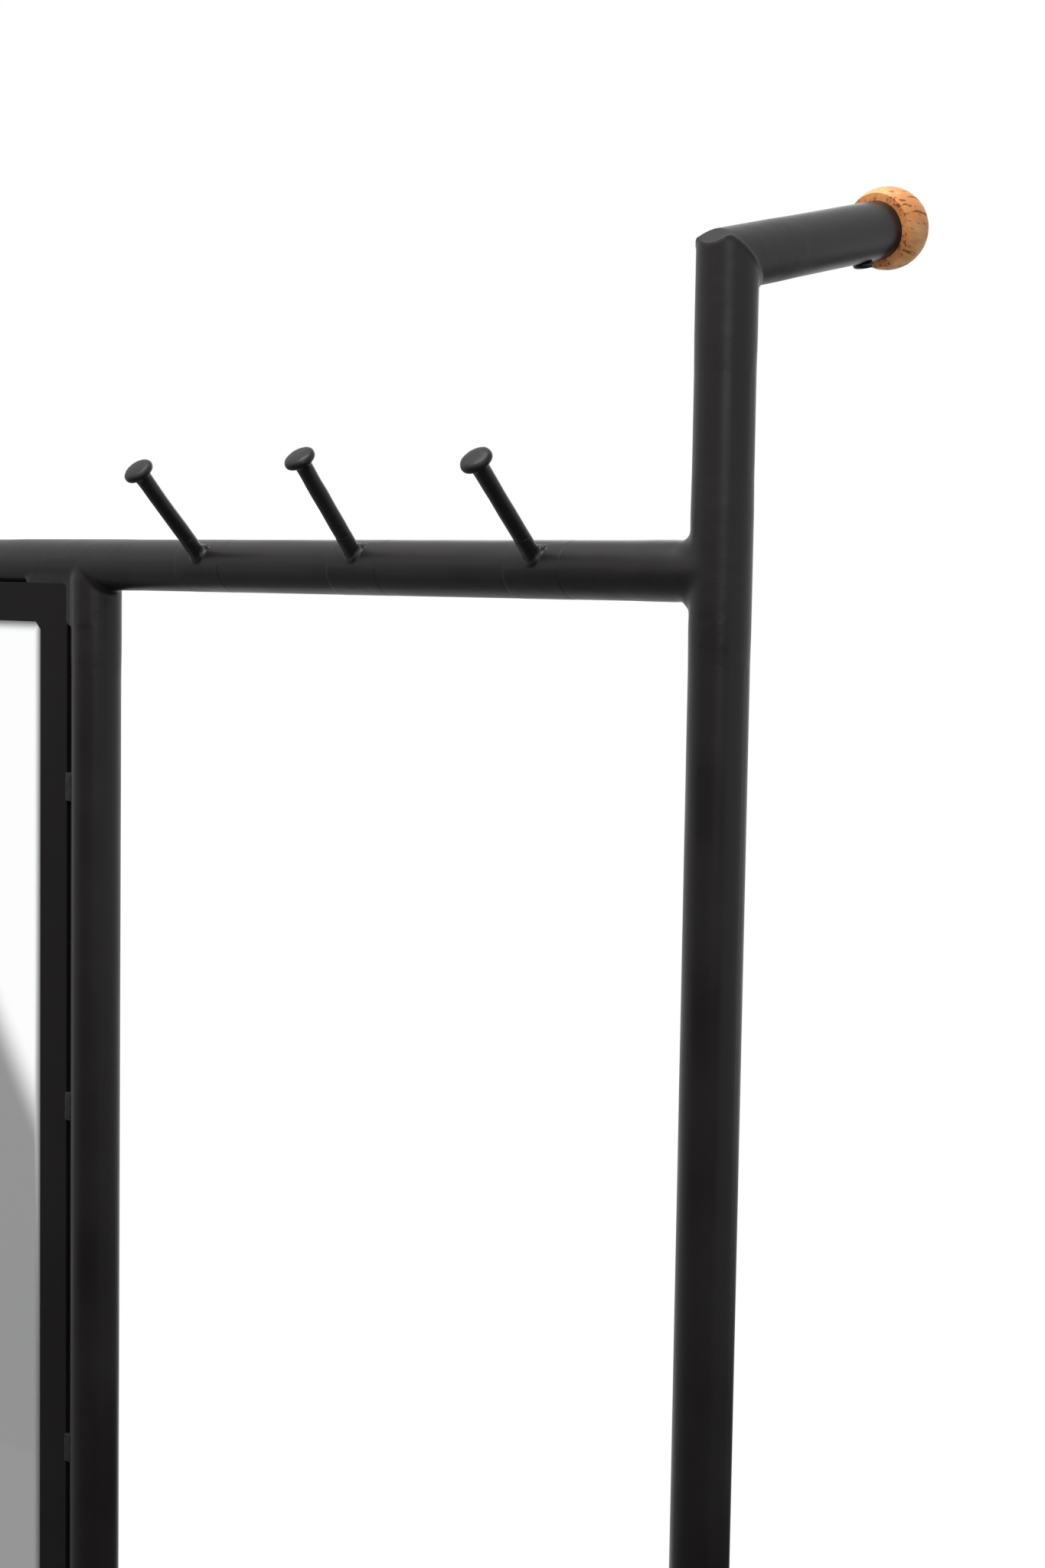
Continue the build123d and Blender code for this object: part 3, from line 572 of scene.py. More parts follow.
def add_block(low, high):
    """A block from its lowest to its highest corner, its place in its mesh."""
    low, high = Vector(low), Vector(high)
    bpy.ops.object.select_all(action="DESELECT")
    bpy.ops.mesh.primitive_cube_add(size=1, location=(0, 0, 0))
    block = bpy.context.object
    edit_all()
    bpy.ops.transform.resize(value=tuple(high - low), center_override=(0, 0, 0))
    bpy.ops.transform.translate(value=tuple((low + high) / 2))
    bpy.ops.object.mode_set(mode="OBJECT")
    return block


def cut_away(piece, point, direction):
    """Cut a piece with a plane, drop what lies beyond it and close the cut."""
    pick(piece)
    edit_all()
    bpy.ops.mesh.bisect(plane_co=point, plane_no=direction, use_fill=True, clear_outer=True)
    bpy.ops.object.mode_set(mode="OBJECT")
    return piece


def join_as(name, pieces):
    """Join several pieces into one, with a new name."""
    bpy.ops.object.select_all(action="DESELECT")
    for piece in pieces:
        piece.select_set(True)
    bpy.context.view_layer.objects.active = pieces[0]
    if len(pieces) > 1:
        bpy.ops.object.join()
    return rename(bpy.context.view_layer.objects.active, name)


def apply_modifiers(piece):
    """Apply every modifier of a piece, in order."""
    pick(piece)
    for modifier in list(piece.modifiers):
        bpy.ops.object.modifier_apply(modifier=modifier.name)
    return piece


def smooth_shade(piece, angle=None):
    """Shade a piece smooth, all over or up to an angle between faces."""
    pick(piece)
    if angle is None:
        bpy.ops.object.shade_smooth()
    else:
        bpy.ops.object.shade_smooth_by_angle(angle=radians(angle))
    return piece


def fuse(piece, voxel, passes):
    """Fuse overlapping solids into one skin and smooth it, as a grinder does."""
    remesh = piece.modifiers.new("fuse", "REMESH")
    remesh.mode = "VOXEL"
    remesh.voxel_size = voxel
    soften = piece.modifiers.new("grind", "SMOOTH")
    soften.factor = 0.5
    soften.iterations = passes
    apply_modifiers(piece)
    return smooth_shade(piece)


def soften_near(piece, points, reach, passes):
    """Smooth a piece near some points, and less with the distance from them."""
    finder = KDTree(len(points))
    for index, point in enumerate(points):
        finder.insert(point, index)
    finder.balance()
    group = piece.vertex_groups.new(name="seam")
    for vertex in piece.data.vertices:
        share = 1 - finder.find(vertex.co)[2] / reach
        if share > 0:
            group.add([vertex.index], min(1.0, 1.5 * share), "REPLACE")
    soften = piece.modifiers.new("soften", "SMOOTH")
    soften.factor = 0.5
    soften.iterations = passes
    soften.vertex_group = group.name
    apply_modifiers(piece)
    piece.vertex_groups.clear()
    return smooth_shade(piece)


def lay_bead(points, radii):
    """A closed bead of weld through some points, its thickness changing along it."""
    curve = bpy.data.curves.new("bead", "CURVE")
    curve.dimensions = "3D"
    curve.bevel_depth = 1
    curve.bevel_resolution = 3
    spline = curve.splines.new("NURBS")
    spline.points.add(len(points) - 1)
    for knot, point, radius in zip(spline.points, points, radii):
        knot.co = (*point, 1)
        knot.radius = radius
    spline.order_u = 4
    spline.use_cyclic_u = True
    bead = bpy.data.objects.new("bead", curve)
    bpy.context.scene.collection.objects.link(bead)
    pick(bead)
    bpy.ops.object.convert(target="MESH")
    return bpy.context.object


def dent(piece, depth, size, seed):
    """Move the surface in and out a little, as hand work leaves it."""
    clouds = bpy.data.textures.new("hand_work", "CLOUDS")
    clouds.noise_scale = size
    shift = bpy.data.objects.new("hand_work_" + str(seed), None)
    shift.location = (0.13 * seed, 0.31 * seed, 0.07 * seed)
    bpy.context.scene.collection.objects.link(shift)
    bpy.context.view_layer.update()
    modifier = piece.modifiers.new("dent", "DISPLACE")
    modifier.texture = clouds
    modifier.texture_coords = "OBJECT"
    modifier.texture_coords_object = shift
    modifier.strength = depth
    modifier.mid_level = 0.5
    apply_modifiers(piece)
    bpy.data.objects.remove(shift)
    return piece


def finish_piece(piece, material, slot, *replaced, body="frame"):
    """Give a finished piece its material, and tie it to the CAD part."""
    piece.data.materials.clear()
    piece.data.materials.append(material)
    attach(piece, body)
    if replaced:
        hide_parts(*replaced)
    return piece


print("modelling helpers are ready")

# %% [markdown]
# The upright and its arm meet in a mitre. The outer corner is ground to a small flat, and the
# seam shows as a low ridge that ends in a small web in the inner corner. Both bars are cut with
# the mitre's plane, which halves the angle between them, so that they share one oval face.

# %% Ground mitre corners of the arms
CORNER_GROUND = 13.8 * MM
MITRE_ACROSS = (UP + ARM_ALONG).normalized()
CORNER_OUT = (UP - ARM_ALONG).normalized()
MITRE_STRETCH = 1 / sin((pi / 2 + ARM_RISE) / 2)


def mitre_bead(corner):
    """The bead round the mitre: thin at the sides, thick in the inner corner."""
    count = 28
    points, radii = [], []
    for step in range(count):
        turn = 2 * pi * step / count
        outward = TUBE_RADIUS * MITRE_STRETCH * cos(turn)
        points.append(corner + Vector((TUBE_RADIUS * sin(turn), 0, 0)) + CORNER_OUT * outward)
        inner_share = max(0.0, -cos(turn)) ** 4
        wobble = 0.12 * sin(5 * turn) + 0.08 * sin(11 * turn + 1)
        radii.append((0.75 + 2.9 * inner_share + wobble) * MM)
    return lay_bead(points, radii)


def arm_corner_weld(name, x):
    """The welded and ground corner of one upright and its arm."""
    corner = Vector((x, 0, ARM_CORNER_Z))
    upright = add_sleeve(corner - UP * 0.060, corner + UP * 0.03, free_end=False)
    cut_away(upright, corner, MITRE_ACROSS)
    arm = add_sleeve(corner - ARM_ALONG * 0.03, corner + ARM_ALONG * 0.060, free_start=False)
    cut_away(arm, corner, -MITRE_ACROSS)
    bead = mitre_bead(corner)
    for part in (upright, arm, bead):
        cut_away(part, corner + CORNER_OUT * CORNER_GROUND, CORNER_OUT)
    return fuse(join_as(name, [upright, arm, bead]), 0.65 * MM, 7)


for side, x in (("right", RIGHT_X), ("left", LEFT_X)):
    weld = arm_corner_weld(side + "_arm_corner_weld", x)
    finish_piece(weld, weld_paint, "weld_paint", "arm_welds")
    print(weld.name, "has", len(weld.data.polygons), "faces")

# %% [markdown]
# Each crossbar ends against an upright of the same width, so the seam is a saddle. Above and
# below, the tubes meet square and the bead is thick. At the front and back their skins run into
# one another, and the bead sinks away. The seam is then smoothed more than the rest, which
# makes the hollow of a ground fillet weld.

# %% Joints of crossbars and uprights


def saddle_bead(place, along, up, sizes, seed):
    """The bead round a tube's end where it meets another tube: its points, and the bead."""
    count = 36
    forward = Vector((0, -1, 0))
    points, radii = [], []
    above, below = sizes
    for step in range(count):
        turn = 2 * pi * step / count
        lift = cos(turn)
        size = 0.5 + (above - 0.5) * max(0, lift) ** 2 + (below - 0.5) * max(0, -lift) ** 2
        size *= 1 + 0.09 * sin(3 * turn + seed) + 0.07 * sin(7 * turn + 2 * seed)
        radius = TUBE_RADIUS - size * MM * (1 - abs(lift)) * 0.9
        side = radius * sin(turn)
        reach = sqrt(radius ** 2 - side ** 2)
        points.append(place + along * reach + forward * side + up * (radius * lift))
        radii.append(size * MM)
    return points, lay_bead(points, radii)


def upright_joint(name, x, way, z, seed):
    """A crossbar welded to an upright. Way is -1 where the crossbar lies to the left."""
    place = Vector((x, 0, z))
    across = Vector((way, 0, 0))
    upright = add_sleeve(place - UP * 0.052, place + UP * 0.052)
    crossbar = add_sleeve(place, place + across * 0.060, free_start=False)
    seam, bead = saddle_bead(place, across, UP, (3.3, 4.0), seed)
    joint = fuse(join_as(name, [upright, crossbar, bead]), 0.75 * MM, 4)
    return soften_near(joint, seam, 11 * MM, 75)


joints = (("top_right_joint", RIGHT_X, -1, TOP_BAR_Z),
          ("bottom_right_joint", RIGHT_X, -1, BOTTOM_BAR_Z),
          ("top_left_joint", LEFT_X, 1, TOP_BAR_Z), ("bottom_left_joint", LEFT_X, 1, BOTTOM_BAR_Z))
for seed, (name, x, way, z) in enumerate(joints):
    joint = upright_joint(name, x, way, z, seed)
    finish_piece(joint, weld_paint, "weld_paint", "crossbar_welds")
    print(joint.name, "has", len(joint.data.polygons), "faces")

# %% [markdown]
# At the mirror's side tube the same joint is followed by a long weld to the flat bars that hold
# the glass. It was ground nearly flush: a sloping face on the crossbar, a flat one beside the
# side tube, and a thin worked skin down the tube's front.

# %% Joints of the side tube, and the mirror's corners
FLAT_FRONT = -11.95 * MM
FLAT_EDGE = 10.14 * MM
SIDE_FLAT_WIDTH = 23.0 * MM
LEVEL_FLAT_WIDTH = 21.3 * MM
PATCH_ACROSS = 46
PATCH_DOWN = 33
PATCH_BACK = -9.2
PATCH_END = 37
PATCH_RUN_OUT = 31
PATCH_SKIN = 0.42 * MM


def corner_block(x, z, across, along, low, high):
    """A block given by its distances from a corner towards the mirror's middle, in millimetres."""
    ends_x = sorted((x + across * low[0] * MM, x + across * high[0] * MM))
    ends_z = sorted((z + along * low[2] * MM, z + along * high[2] * MM))
    return add_block((ends_x[0], low[1] * MM, ends_z[0]), (ends_x[1], high[1] * MM, ends_z[1]))


def corner_patch(x, z, across, along):
    """Weld ground off between the flat bars and the two tubes at a corner of the mirror."""
    level = corner_block(x, z, across, along, (2, -13.7, -3), (PATCH_ACROSS, PATCH_BACK, 11.6))
    # The face slopes a little towards the glass, runs out along the bar and has a slanted end.
    slope = Vector((0, -8, along)).normalized()
    cut_away(level, (x, -13.42 * MM, z - along * 1.0 * MM), slope)
    end = Vector((across * 1.0, 0, -along * 2.4)).normalized()
    cut_away(level, (x + across * PATCH_END * MM, 0, z - along * 1.0 * MM), end)
    run_out = Vector((across * 0.10, -1, 0)).normalized()
    cut_away(level, (x + across * PATCH_RUN_OUT * MM, -13.3 * MM, z), run_out)
    side = corner_block(x, z, across, along, (5.5, -11.99, 4), (12.5, PATCH_BACK, PATCH_DOWN))
    skin = add_bar((x, 0, z + along * 6 * MM), (x, 0, z + along * PATCH_DOWN * MM),
                   TUBE_RADIUS + PATCH_SKIN)
    cut_away(skin, (x + across * 7 * MM, 0, z), (across, 0, 0))
    cut_away(skin, (x - across * 8.5 * MM, 0, z), (-across, 0, 0))
    cut_away(skin, (x, -5 * MM, z), (0, 1, 0))
    return [level, side, skin]


def patch_edge(x, z, across, along):
    """Points along the outer edge of the level patch, where it runs into the crossbar."""
    return [Vector((x + across * step * MM, -13.0 * MM, z - along * 2.0 * MM))
            for step in range(0, 58, 3)]


def side_tube_joint(name, z, along, seed):
    """The side tube welded to a crossbar, with the worked corner of the mirror."""
    place = Vector((SIDE_TUBE_X, 0, z))
    down = Vector((0, 0, along))
    across = Vector((1, 0, 0))
    crossbar = add_sleeve(place - across * 0.086, place + across * 0.052)
    tube = add_sleeve(place, place + down * 0.072, free_start=False)
    seam, bead = saddle_bead(place, down, across, (2.0, 1.0), seed)
    solids = [crossbar, tube, bead] + corner_patch(SIDE_TUBE_X, z, -1, along)
    joint = fuse(join_as(name, solids), 0.75 * MM, 9)
    joint = soften_near(joint, seam, 6 * MM, 8)
    return soften_near(joint, patch_edge(SIDE_TUBE_X, z, -1, along), 5 * MM, 30)


def upright_patch(name, z, along):
    """The worked corner of the mirror at the left upright."""
    crossbar = add_sleeve((LEFT_X, 0, z), (LEFT_X + 0.086, 0, z), free_start=False)
    upright = add_sleeve((LEFT_X, 0, z - along * 0.004), (LEFT_X, 0, z + along * 0.072),
                         free_start=False)
    solids = [crossbar, upright] + corner_patch(LEFT_X, z, 1, along)
    patch = fuse(join_as(name, solids), 0.75 * MM, 9)
    return soften_near(patch, patch_edge(LEFT_X, z, 1, along), 5 * MM, 30)


heights = (("upper", TOP_BAR_Z, -1), ("lower", BOTTOM_BAR_Z, 1))
for seed, (level, z, along) in enumerate(heights, 5):
    joint = side_tube_joint(level + "_side_tube_joint", z, along, seed)
    finish_piece(joint, weld_paint, "weld_paint", "side_tube_welds", "mirror_corner_welds")
    print(joint.name, "has", len(joint.data.polygons), "faces")
for level, z, along in heights:
    patch = upright_patch(level + "_left_mirror_corner", z, along)
    finish_piece(patch, weld_paint, "weld_paint", "mirror_corner_welds")
    print(patch.name, "has", len(patch.data.polygons), "faces")

# %% [markdown]
# ## Mirror frame
# Four flat bars are mitred round the glass, their long edges eased. Short stitch welds hold
# them to the tubes, and a small gusset is left in each inner corner.

# %% Flat bars and gussets
BAY_MIDDLE = ((LEFT_X + SIDE_TUBE_X) / 2, (TOP_BAR_Z + BOTTOM_BAR_Z) / 2)
CORNERS = ((SIDE_TUBE_X, TOP_BAR_Z, -1, -1), (SIDE_TUBE_X, BOTTOM_BAR_Z, -1, 1),
           (LEFT_X, TOP_BAR_Z, 1, -1), (LEFT_X, BOTTOM_BAR_Z, 1, 1))
FLAT_BACK = -8.95 * MM


def ease_edges(piece, width, segments=2, angle=40):
    """Round off the sharp edges of a piece."""
    bevel = piece.modifiers.new("ease", "BEVEL")
    bevel.width = width
    bevel.segments = segments
    bevel.limit_method = "ANGLE"
    bevel.angle_limit = radians(angle)
    apply_modifiers(piece)
    return smooth_shade(piece, 20)


def flat_bar(name, low, high, mitres):
    """A flat bar, cut at both ends by the mitres."""
    bar = ease_edges(add_block(low, high), 0.35 * MM)
    for point, direction in mitres:
        cut_away(bar, point, direction)
    return smooth_shade(rename(bar, name), 20)


def mitre_cut(x, z, across, along, level):
    """The plane through a corner that ends a level or an upright flat bar."""
    outer = Vector((x + across * FLAT_EDGE, 0, z + along * FLAT_EDGE))
    diagonal = Vector((across * SIDE_FLAT_WIDTH, 0, along * LEVEL_FLAT_WIDTH))
    direction = Vector((diagonal.z, 0, -diagonal.x))
    inside = (BAY_MIDDLE[0] - outer.x, 0, 0) if level else (0, 0, BAY_MIDDLE[1] - outer.z)
    if direction.dot(Vector(inside)) > 0:
        direction = -direction
    return outer, direction.normalized()


left_edge, right_edge = LEFT_X + FLAT_EDGE, SIDE_TUBE_X - FLAT_EDGE
bottom_edge, top_edge = BOTTOM_BAR_Z + FLAT_EDGE, TOP_BAR_Z - FLAT_EDGE
flat_sizes = {
    "top": ((left_edge, top_edge - LEVEL_FLAT_WIDTH), (right_edge, top_edge), (0, 2), True),
    "bottom": ((left_edge, bottom_edge), (right_edge, bottom_edge + LEVEL_FLAT_WIDTH), (1, 3),
               True),
    "left": ((left_edge, bottom_edge), (left_edge + SIDE_FLAT_WIDTH, top_edge), (2, 3), False),
    "right": ((right_edge - SIDE_FLAT_WIDTH, bottom_edge), (right_edge, top_edge), (0, 1), False),
}
for name, (low, high, ends, level) in flat_sizes.items():
    bar = flat_bar(name + "_eased_flat", (low[0], FLAT_FRONT, low[1]),
                   (high[0], FLAT_BACK, high[1]),
                   [mitre_cut(*CORNERS[end], level) for end in ends])
    finish_piece(bar, flats_paint_and_shade, "frame_paint", "mirror_flat_" + name)
    print(bar.name, "has", len(bar.data.polygons), "faces")

GUSSET = 4.2 * MM
for number, (x, z, across, along) in enumerate(CORNERS):
    inner = Vector((x + across * (FLAT_EDGE + SIDE_FLAT_WIDTH - 1 * MM), 0,
                    z + along * (FLAT_EDGE + LEVEL_FLAT_WIDTH - 1 * MM)))
    far = inner + Vector((across * 7 * MM, 0, along * 7 * MM))
    gusset = add_block((min(inner.x, far.x), FLAT_FRONT + 0.02 * MM, min(inner.z, far.z)),
                       (max(inner.x, far.x), FLAT_BACK - 0.02 * MM, max(inner.z, far.z)))
    corner = Vector((across * (GUSSET + 1 * MM), 0, along * 1 * MM))
    cut_away(gusset, inner + corner, (across, 0, along))
    rename(gusset, "corner_gusset_" + str(number + 1))
    ease_edges(gusset, 0.3 * MM)
    finish_piece(gusset, flats_paint_and_shade, "weld_paint", "mirror_corner_welds")

# %% Stitch welds
STITCH_LENGTH = 16.0 * MM
STITCH_FIRST = 120.3 * MM
STITCH_PITCH = 183.5 * MM
STITCH_WANDER = 8.0 * MM
CORNER_WELD_DOWN = 31.5 * MM
CORNER_WELD_ACROSS = 48.0 * MM


def stitch_places(length, end_weld):
    """Distances of the stitches from a corner, along a side of this length."""
    places = []
    number = 0
    while STITCH_FIRST + number * STITCH_PITCH + STITCH_WANDER < length - end_weld - STITCH_LENGTH:
        places.append(STITCH_FIRST + number * STITCH_PITCH - STITCH_WANDER * sin(number * pi / 2))
        number += 1
    return places


def stitch_weld():
    """One stitch, lying along X in the groove below a tube that runs along X."""
    stitch = add_block((-STITCH_LENGTH / 2, -12.25 * MM, -11.3 * MM),
                       (STITCH_LENGTH / 2, -9.0 * MM, -5.9 * MM))
    pick(stitch)
    edit_all()
    bpy.ops.mesh.subdivide(number_cuts=3)
    bpy.ops.object.mode_set(mode="OBJECT")
    ease_edges(stitch, 0.9 * MM, segments=3)
    detail = stitch.modifiers.new("round", "SUBSURF")
    detail.levels = 2
    detail.render_levels = 2
    apply_modifiers(stitch)
    return dent(stitch, 0.5 * MM, 5 * MM, 4)


def copy_to(piece, name, matrix):
    """Copy a piece with its own mesh and set the copy in its place."""
    pick(piece)
    bpy.ops.object.duplicate()
    copy = bpy.context.object
    copy.data.transform(matrix)
    return rename(copy, name)


stitch = stitch_weld()
stitches = []
for distance in stitch_places(TOP_BAR_Z - BOTTOM_BAR_Z, CORNER_WELD_DOWN):
    for x, turn in ((SIDE_TUBE_X, pi / 2), (LEFT_X, -pi / 2)):
        place = Matrix.Translation((x, 0, TOP_BAR_Z - distance)) @ Matrix.Rotation(turn, 4, "Y")
        stitches.append(copy_to(stitch, "stitch", place))
for distance in stitch_places(SIDE_TUBE_X - LEFT_X, CORNER_WELD_ACROSS):
    for z, turn in ((TOP_BAR_Z, 0), (BOTTOM_BAR_Z, pi)):
        place = Matrix.Translation((SIDE_TUBE_X - distance, 0, z)) @ Matrix.Rotation(turn, 4, "Y")
        stitches.append(copy_to(stitch, "stitch", place))
bpy.data.objects.remove(stitch)
stitch_row = smooth_shade(join_as("mirror_stitches", stitches))
finish_piece(stitch_row, weld_paint, "weld_paint", "mirror_stitch_welds")
print(stitch_row.name, "has", len(stitches), "stitches")

# %% [markdown]
# ## Coat pegs
# Each peg is a length of 8 mm rod whose end was upset into a flat, slightly domed head, like a
# nail's. It was done by hand, so no head is quite round. The outline is turned from a circle
# that is extruded and resized ring by ring, and then dented a little with a cloud texture.

# %% Pegs
PEG_RADIUS = 4 * MM
PEG_OFFSET = 4 * MM
PEGS = {"right": (97.7, 46.4), "middle": (212.6, 50.0), "left": (323.9, 45.3)}
PEG_RINGS = [(8.0, 4.0), (30.0, 4.02), (50.0, 3.98), (60.0, 4.0), (64.6, 4.05), (66.0, 4.5),
             (66.5, 5.4), (66.9, 6.6), (67.5, 7.35), (68.4, 7.78), (69.4, 7.8), (70.2, 7.5),
             (70.9, 6.9), (71.35, 6.0), (71.6, 4.6), (71.8, 2.6), (71.85, 0.6)]


def peg_axis(offset, rise):
    """A point beside the crossbar's axis, and the direction of a peg."""
    turn = radians(rise)
    forward = Vector((0, -sin(turn), -cos(turn)))
    base = Vector((RIGHT_X - offset * MM, 0, TOP_BAR_Z)) + forward * PEG_OFFSET
    return base, Vector((0, -cos(turn), sin(turn)))


for seed, (name, (offset, rise)) in enumerate(PEGS.items()):
    base, along = peg_axis(offset, rise)
    peg = turn_piece("forged_peg_" + name, base, along, PEG_RINGS, corners=56)
    detail = peg.modifiers.new("round", "SUBSURF")
    detail.levels = 1
    detail.render_levels = 1
    apply_modifiers(peg)
    dent(peg, 0.55 * MM, 9 * MM, seed + 2)
    smooth_shade(peg)
    finish_piece(peg, weld_paint, "frame_paint", "coat_peg_" + name)
    print(peg.name, "has", len(peg.data.polygons), "faces")

# %% Collars of weld round the pegs


def peg_collar(name, offset, rise, seed):
    """The weld at a peg's foot, with the small web that the bead left at its upper side."""
    base, along = peg_axis(offset, rise)
    across = Vector((1, 0, 0))
    up_side = along.cross(across).normalized()
    if up_side.z < 0:
        up_side = -up_side
    radius = TUBE_RADIUS + SLEEVE_SKIN
    middle = Vector((base.x, 0, TOP_BAR_Z))
    crossbar = add_bar(middle - across * 0.017, middle + across * 0.017, radius)
    stub = add_bar(base, base + along * 0.024, PEG_RADIUS + SLEEVE_SKIN, corners=40)
    count = 20
    points, radii = [], []
    for step in range(count):
        turn = 2 * pi * step / count
        side = across * (PEG_RADIUS * sin(turn)) + up_side * (PEG_RADIUS * cos(turn))
        ray = base + side - middle
        drop = ray.yz
        run = along.yz
        half = drop.dot(run)
        reach = -half + sqrt(half * half - drop.dot(drop) + TUBE_RADIUS ** 2)
        points.append(base + side + along * reach)
        lump = max(0, cos(turn - 0.6)) ** 8
        radii.append((1.25 + 0.7 * lump + 0.2 * sin(3 * turn + seed)) * MM)
    bead = lay_bead(points, radii)
    web_place = points[2] + across * (2.2 * MM) + up_side * (0.6 * MM)
    bpy.ops.object.select_all(action="DESELECT")
    bpy.ops.mesh.primitive_ico_sphere_add(subdivisions=3, radius=1.7 * MM, location=web_place)
    bpy.ops.object.transform_apply(location=True, rotation=True, scale=True)
    web = bpy.context.object
    return fuse(join_as(name, [crossbar, stub, bead, web]), 0.5 * MM, 7)


for seed, (name, (offset, rise)) in enumerate(PEGS.items()):
    collar = peg_collar("peg_collar_" + name, offset, rise, seed)
    finish_piece(collar, weld_paint, "weld_paint", "peg_welds")
    print(collar.name, "has", len(collar.data.polygons), "faces")

# %% [markdown]
# ## Wooden balls
# Each arm ends in a turned ball of warm brown wood. It is cut flat where it meets the tube, and
# a tenon runs into the bore. The cut face is tinted redder and darker than the round side, partly
# for its end grain and partly as painted shade, and short dark pores run along the grain. The
# wood's pattern is built from stretched noise: broad bands of colour, fine fibres, and pores that
# are cut off to short dashes.

# %% Oiled wood of the balls
LIGHT_WOOD = (0.88, 0.485, 0.205, 1)
DARK_WOOD = (0.66, 0.275, 0.092, 1)
PORE_BROWN = (0.20, 0.070, 0.020, 1)
END_GRAIN_AND_SHADE_TINT = (1.0, 0.82, 0.72, 1)

ball_wood, wood_tree, wood_shader = start_material("oiled_brown_wood")
wood_place = object_place(wood_tree, turn=(0.06, 0.18, -pi / 2))


def noise_along_grain(stretch, scale, detail, distortion=0.0):
    """Noise drawn out along the grain of the balls."""
    mapping = wood_tree.nodes.new("ShaderNodeMapping")
    mapping.inputs["Scale"].default_value = stretch
    wood_tree.links.new(wood_place, mapping.inputs["Vector"])
    noise = add_noise(wood_tree, mapping.outputs["Vector"], scale, detail)
    noise.node.inputs["Distortion"].default_value = distortion
    return noise


ring_noise = noise_along_grain((0.35, 1, 1), 95, 3, 0.6)
fibre_noise = noise_along_grain((0.12, 1, 1), 620, 2)
pore_noise = noise_along_grain((0.13, 1, 1.1), 540, 1, 0.5)
ring_share = add_range(wood_tree, ring_noise, 0.36, 0.66)
fibre_share = add_range(wood_tree, fibre_noise, 0.25, 0.75, 0.0, 0.45)
full_share = add_math(wood_tree, "ADD", ring_share, fibre_share)
grain_share = add_math(wood_tree, "MINIMUM", full_share, 1.0)
pore_spots = add_range(wood_tree, pore_noise, 0.565, 0.635)
pore_where = add_range(wood_tree, ring_noise, 0.34, 0.52)
pore_mask = add_math(wood_tree, "MULTIPLY", pore_spots, pore_where)
pore_mask = add_math(wood_tree, "MULTIPLY", pore_mask, 0.9)
grain_colour = add_colour_mix(wood_tree, grain_share, LIGHT_WOOD, DARK_WOOD)
pored_colour = add_colour_mix(wood_tree, pore_mask, grain_colour, PORE_BROWN)
fibre_height = add_math(wood_tree, "MULTIPLY", fibre_noise, 0.3)
grain_height = add_math(wood_tree, "SUBTRACT", fibre_height, pore_mask)
wood_normal = wood_tree.nodes.new("ShaderNodeTexCoord")
wood_along = wood_tree.nodes.new("ShaderNodeVectorMath")
wood_along.operation = "DOT_PRODUCT"
wood_along.inputs[1].default_value = -ARM_ALONG
wood_tree.links.new(wood_normal.outputs["Normal"], wood_along.inputs[0])
# The flat cut face is tinted redder and darker: partly the end grain's own colour, partly painted
# shade.
end_grain_and_shade_share = add_range(wood_tree, wood_along.outputs["Value"], 0.90, 0.985)
end_grain_and_shade_colour = wood_tree.nodes.new("ShaderNodeMix")
end_grain_and_shade_colour.data_type = "RGBA"
end_grain_and_shade_colour.blend_type = "MULTIPLY"
end_grain_and_shade_colour.inputs[7].default_value = END_GRAIN_AND_SHADE_TINT
wood_tree.links.new(end_grain_and_shade_share, end_grain_and_shade_colour.inputs[0])
wood_tree.links.new(pored_colour, end_grain_and_shade_colour.inputs[6])
wood_tree.links.new(end_grain_and_shade_colour.outputs[2], wood_shader.inputs["Base Color"])
wood_rough = add_range(wood_tree, pore_mask, 0, 1, 0.46, 0.75)
wood_tree.links.new(wood_rough, wood_shader.inputs["Roughness"])
add_bump(wood_tree, wood_shader, grain_height, 0.06 * MM)
wood_shader.inputs["Specular IOR Level"].default_value = 0.3
print(ball_wood.name, "has", len(wood_tree.nodes), "nodes")

# %% Balls
BALL_RADIUS = 19 * MM
BALL_SETOUT = 8.5 * MM
TENON_LENGTH = 22 * MM


def wooden_ball(name, x):
    """A ball cut flat, its edge eased, with a tenon extruded from the flat face."""
    end = Vector((x, 0, ARM_CORNER_Z)) + ARM_ALONG * ARM_LENGTH
    flat_radius = sqrt(BALL_RADIUS ** 2 - BALL_SETOUT ** 2)
    bpy.ops.object.select_all(action="DESELECT")
    bpy.ops.mesh.primitive_uv_sphere_add(segments=96, ring_count=64, radius=BALL_RADIUS,
                                         location=(0, 0, BALL_SETOUT))
    bpy.ops.object.transform_apply(location=True, rotation=True, scale=True)
    ball = bpy.context.object
    cut_away(ball, (0, 0, 0), (0, 0, -1))
    pick(ball)
    bpy.ops.object.mode_set(mode="EDIT")
    bpy.ops.mesh.select_all(action="DESELECT")
    shape = bmesh.from_edit_mesh(ball.data)
    for face in shape.faces:
        face.select_set(len(face.verts) > 8)
    bmesh.update_edit_mesh(ball.data)
    bpy.ops.mesh.inset(thickness=0.5 * MM, depth=0)
    bpy.ops.transform.translate(value=(0, 0, -0.12 * MM))
    bpy.ops.mesh.inset(thickness=flat_radius - 0.5 * MM - (BORE_RADIUS - 0.2 * MM), depth=0)
    bpy.ops.mesh.extrude_region_move(TRANSFORM_OT_translate={"value": (0, 0, -TENON_LENGTH)})
    bpy.ops.object.mode_set(mode="OBJECT")
    ball.data.transform(ARM_ALONG.to_track_quat("Z", "Y").to_matrix().to_4x4())
    ball.data.transform(Matrix.Translation(end))
    return smooth_shade(rename(ball, name), 40)


for side, x in (("right", RIGHT_X), ("left", LEFT_X)):
    ball = wooden_ball(side + "_turned_ball", x)
    finish_piece(ball, ball_wood, "ball_wood", side + "_arm_ball")
    print(ball.name, "has", len(ball.data.polygons), "faces")
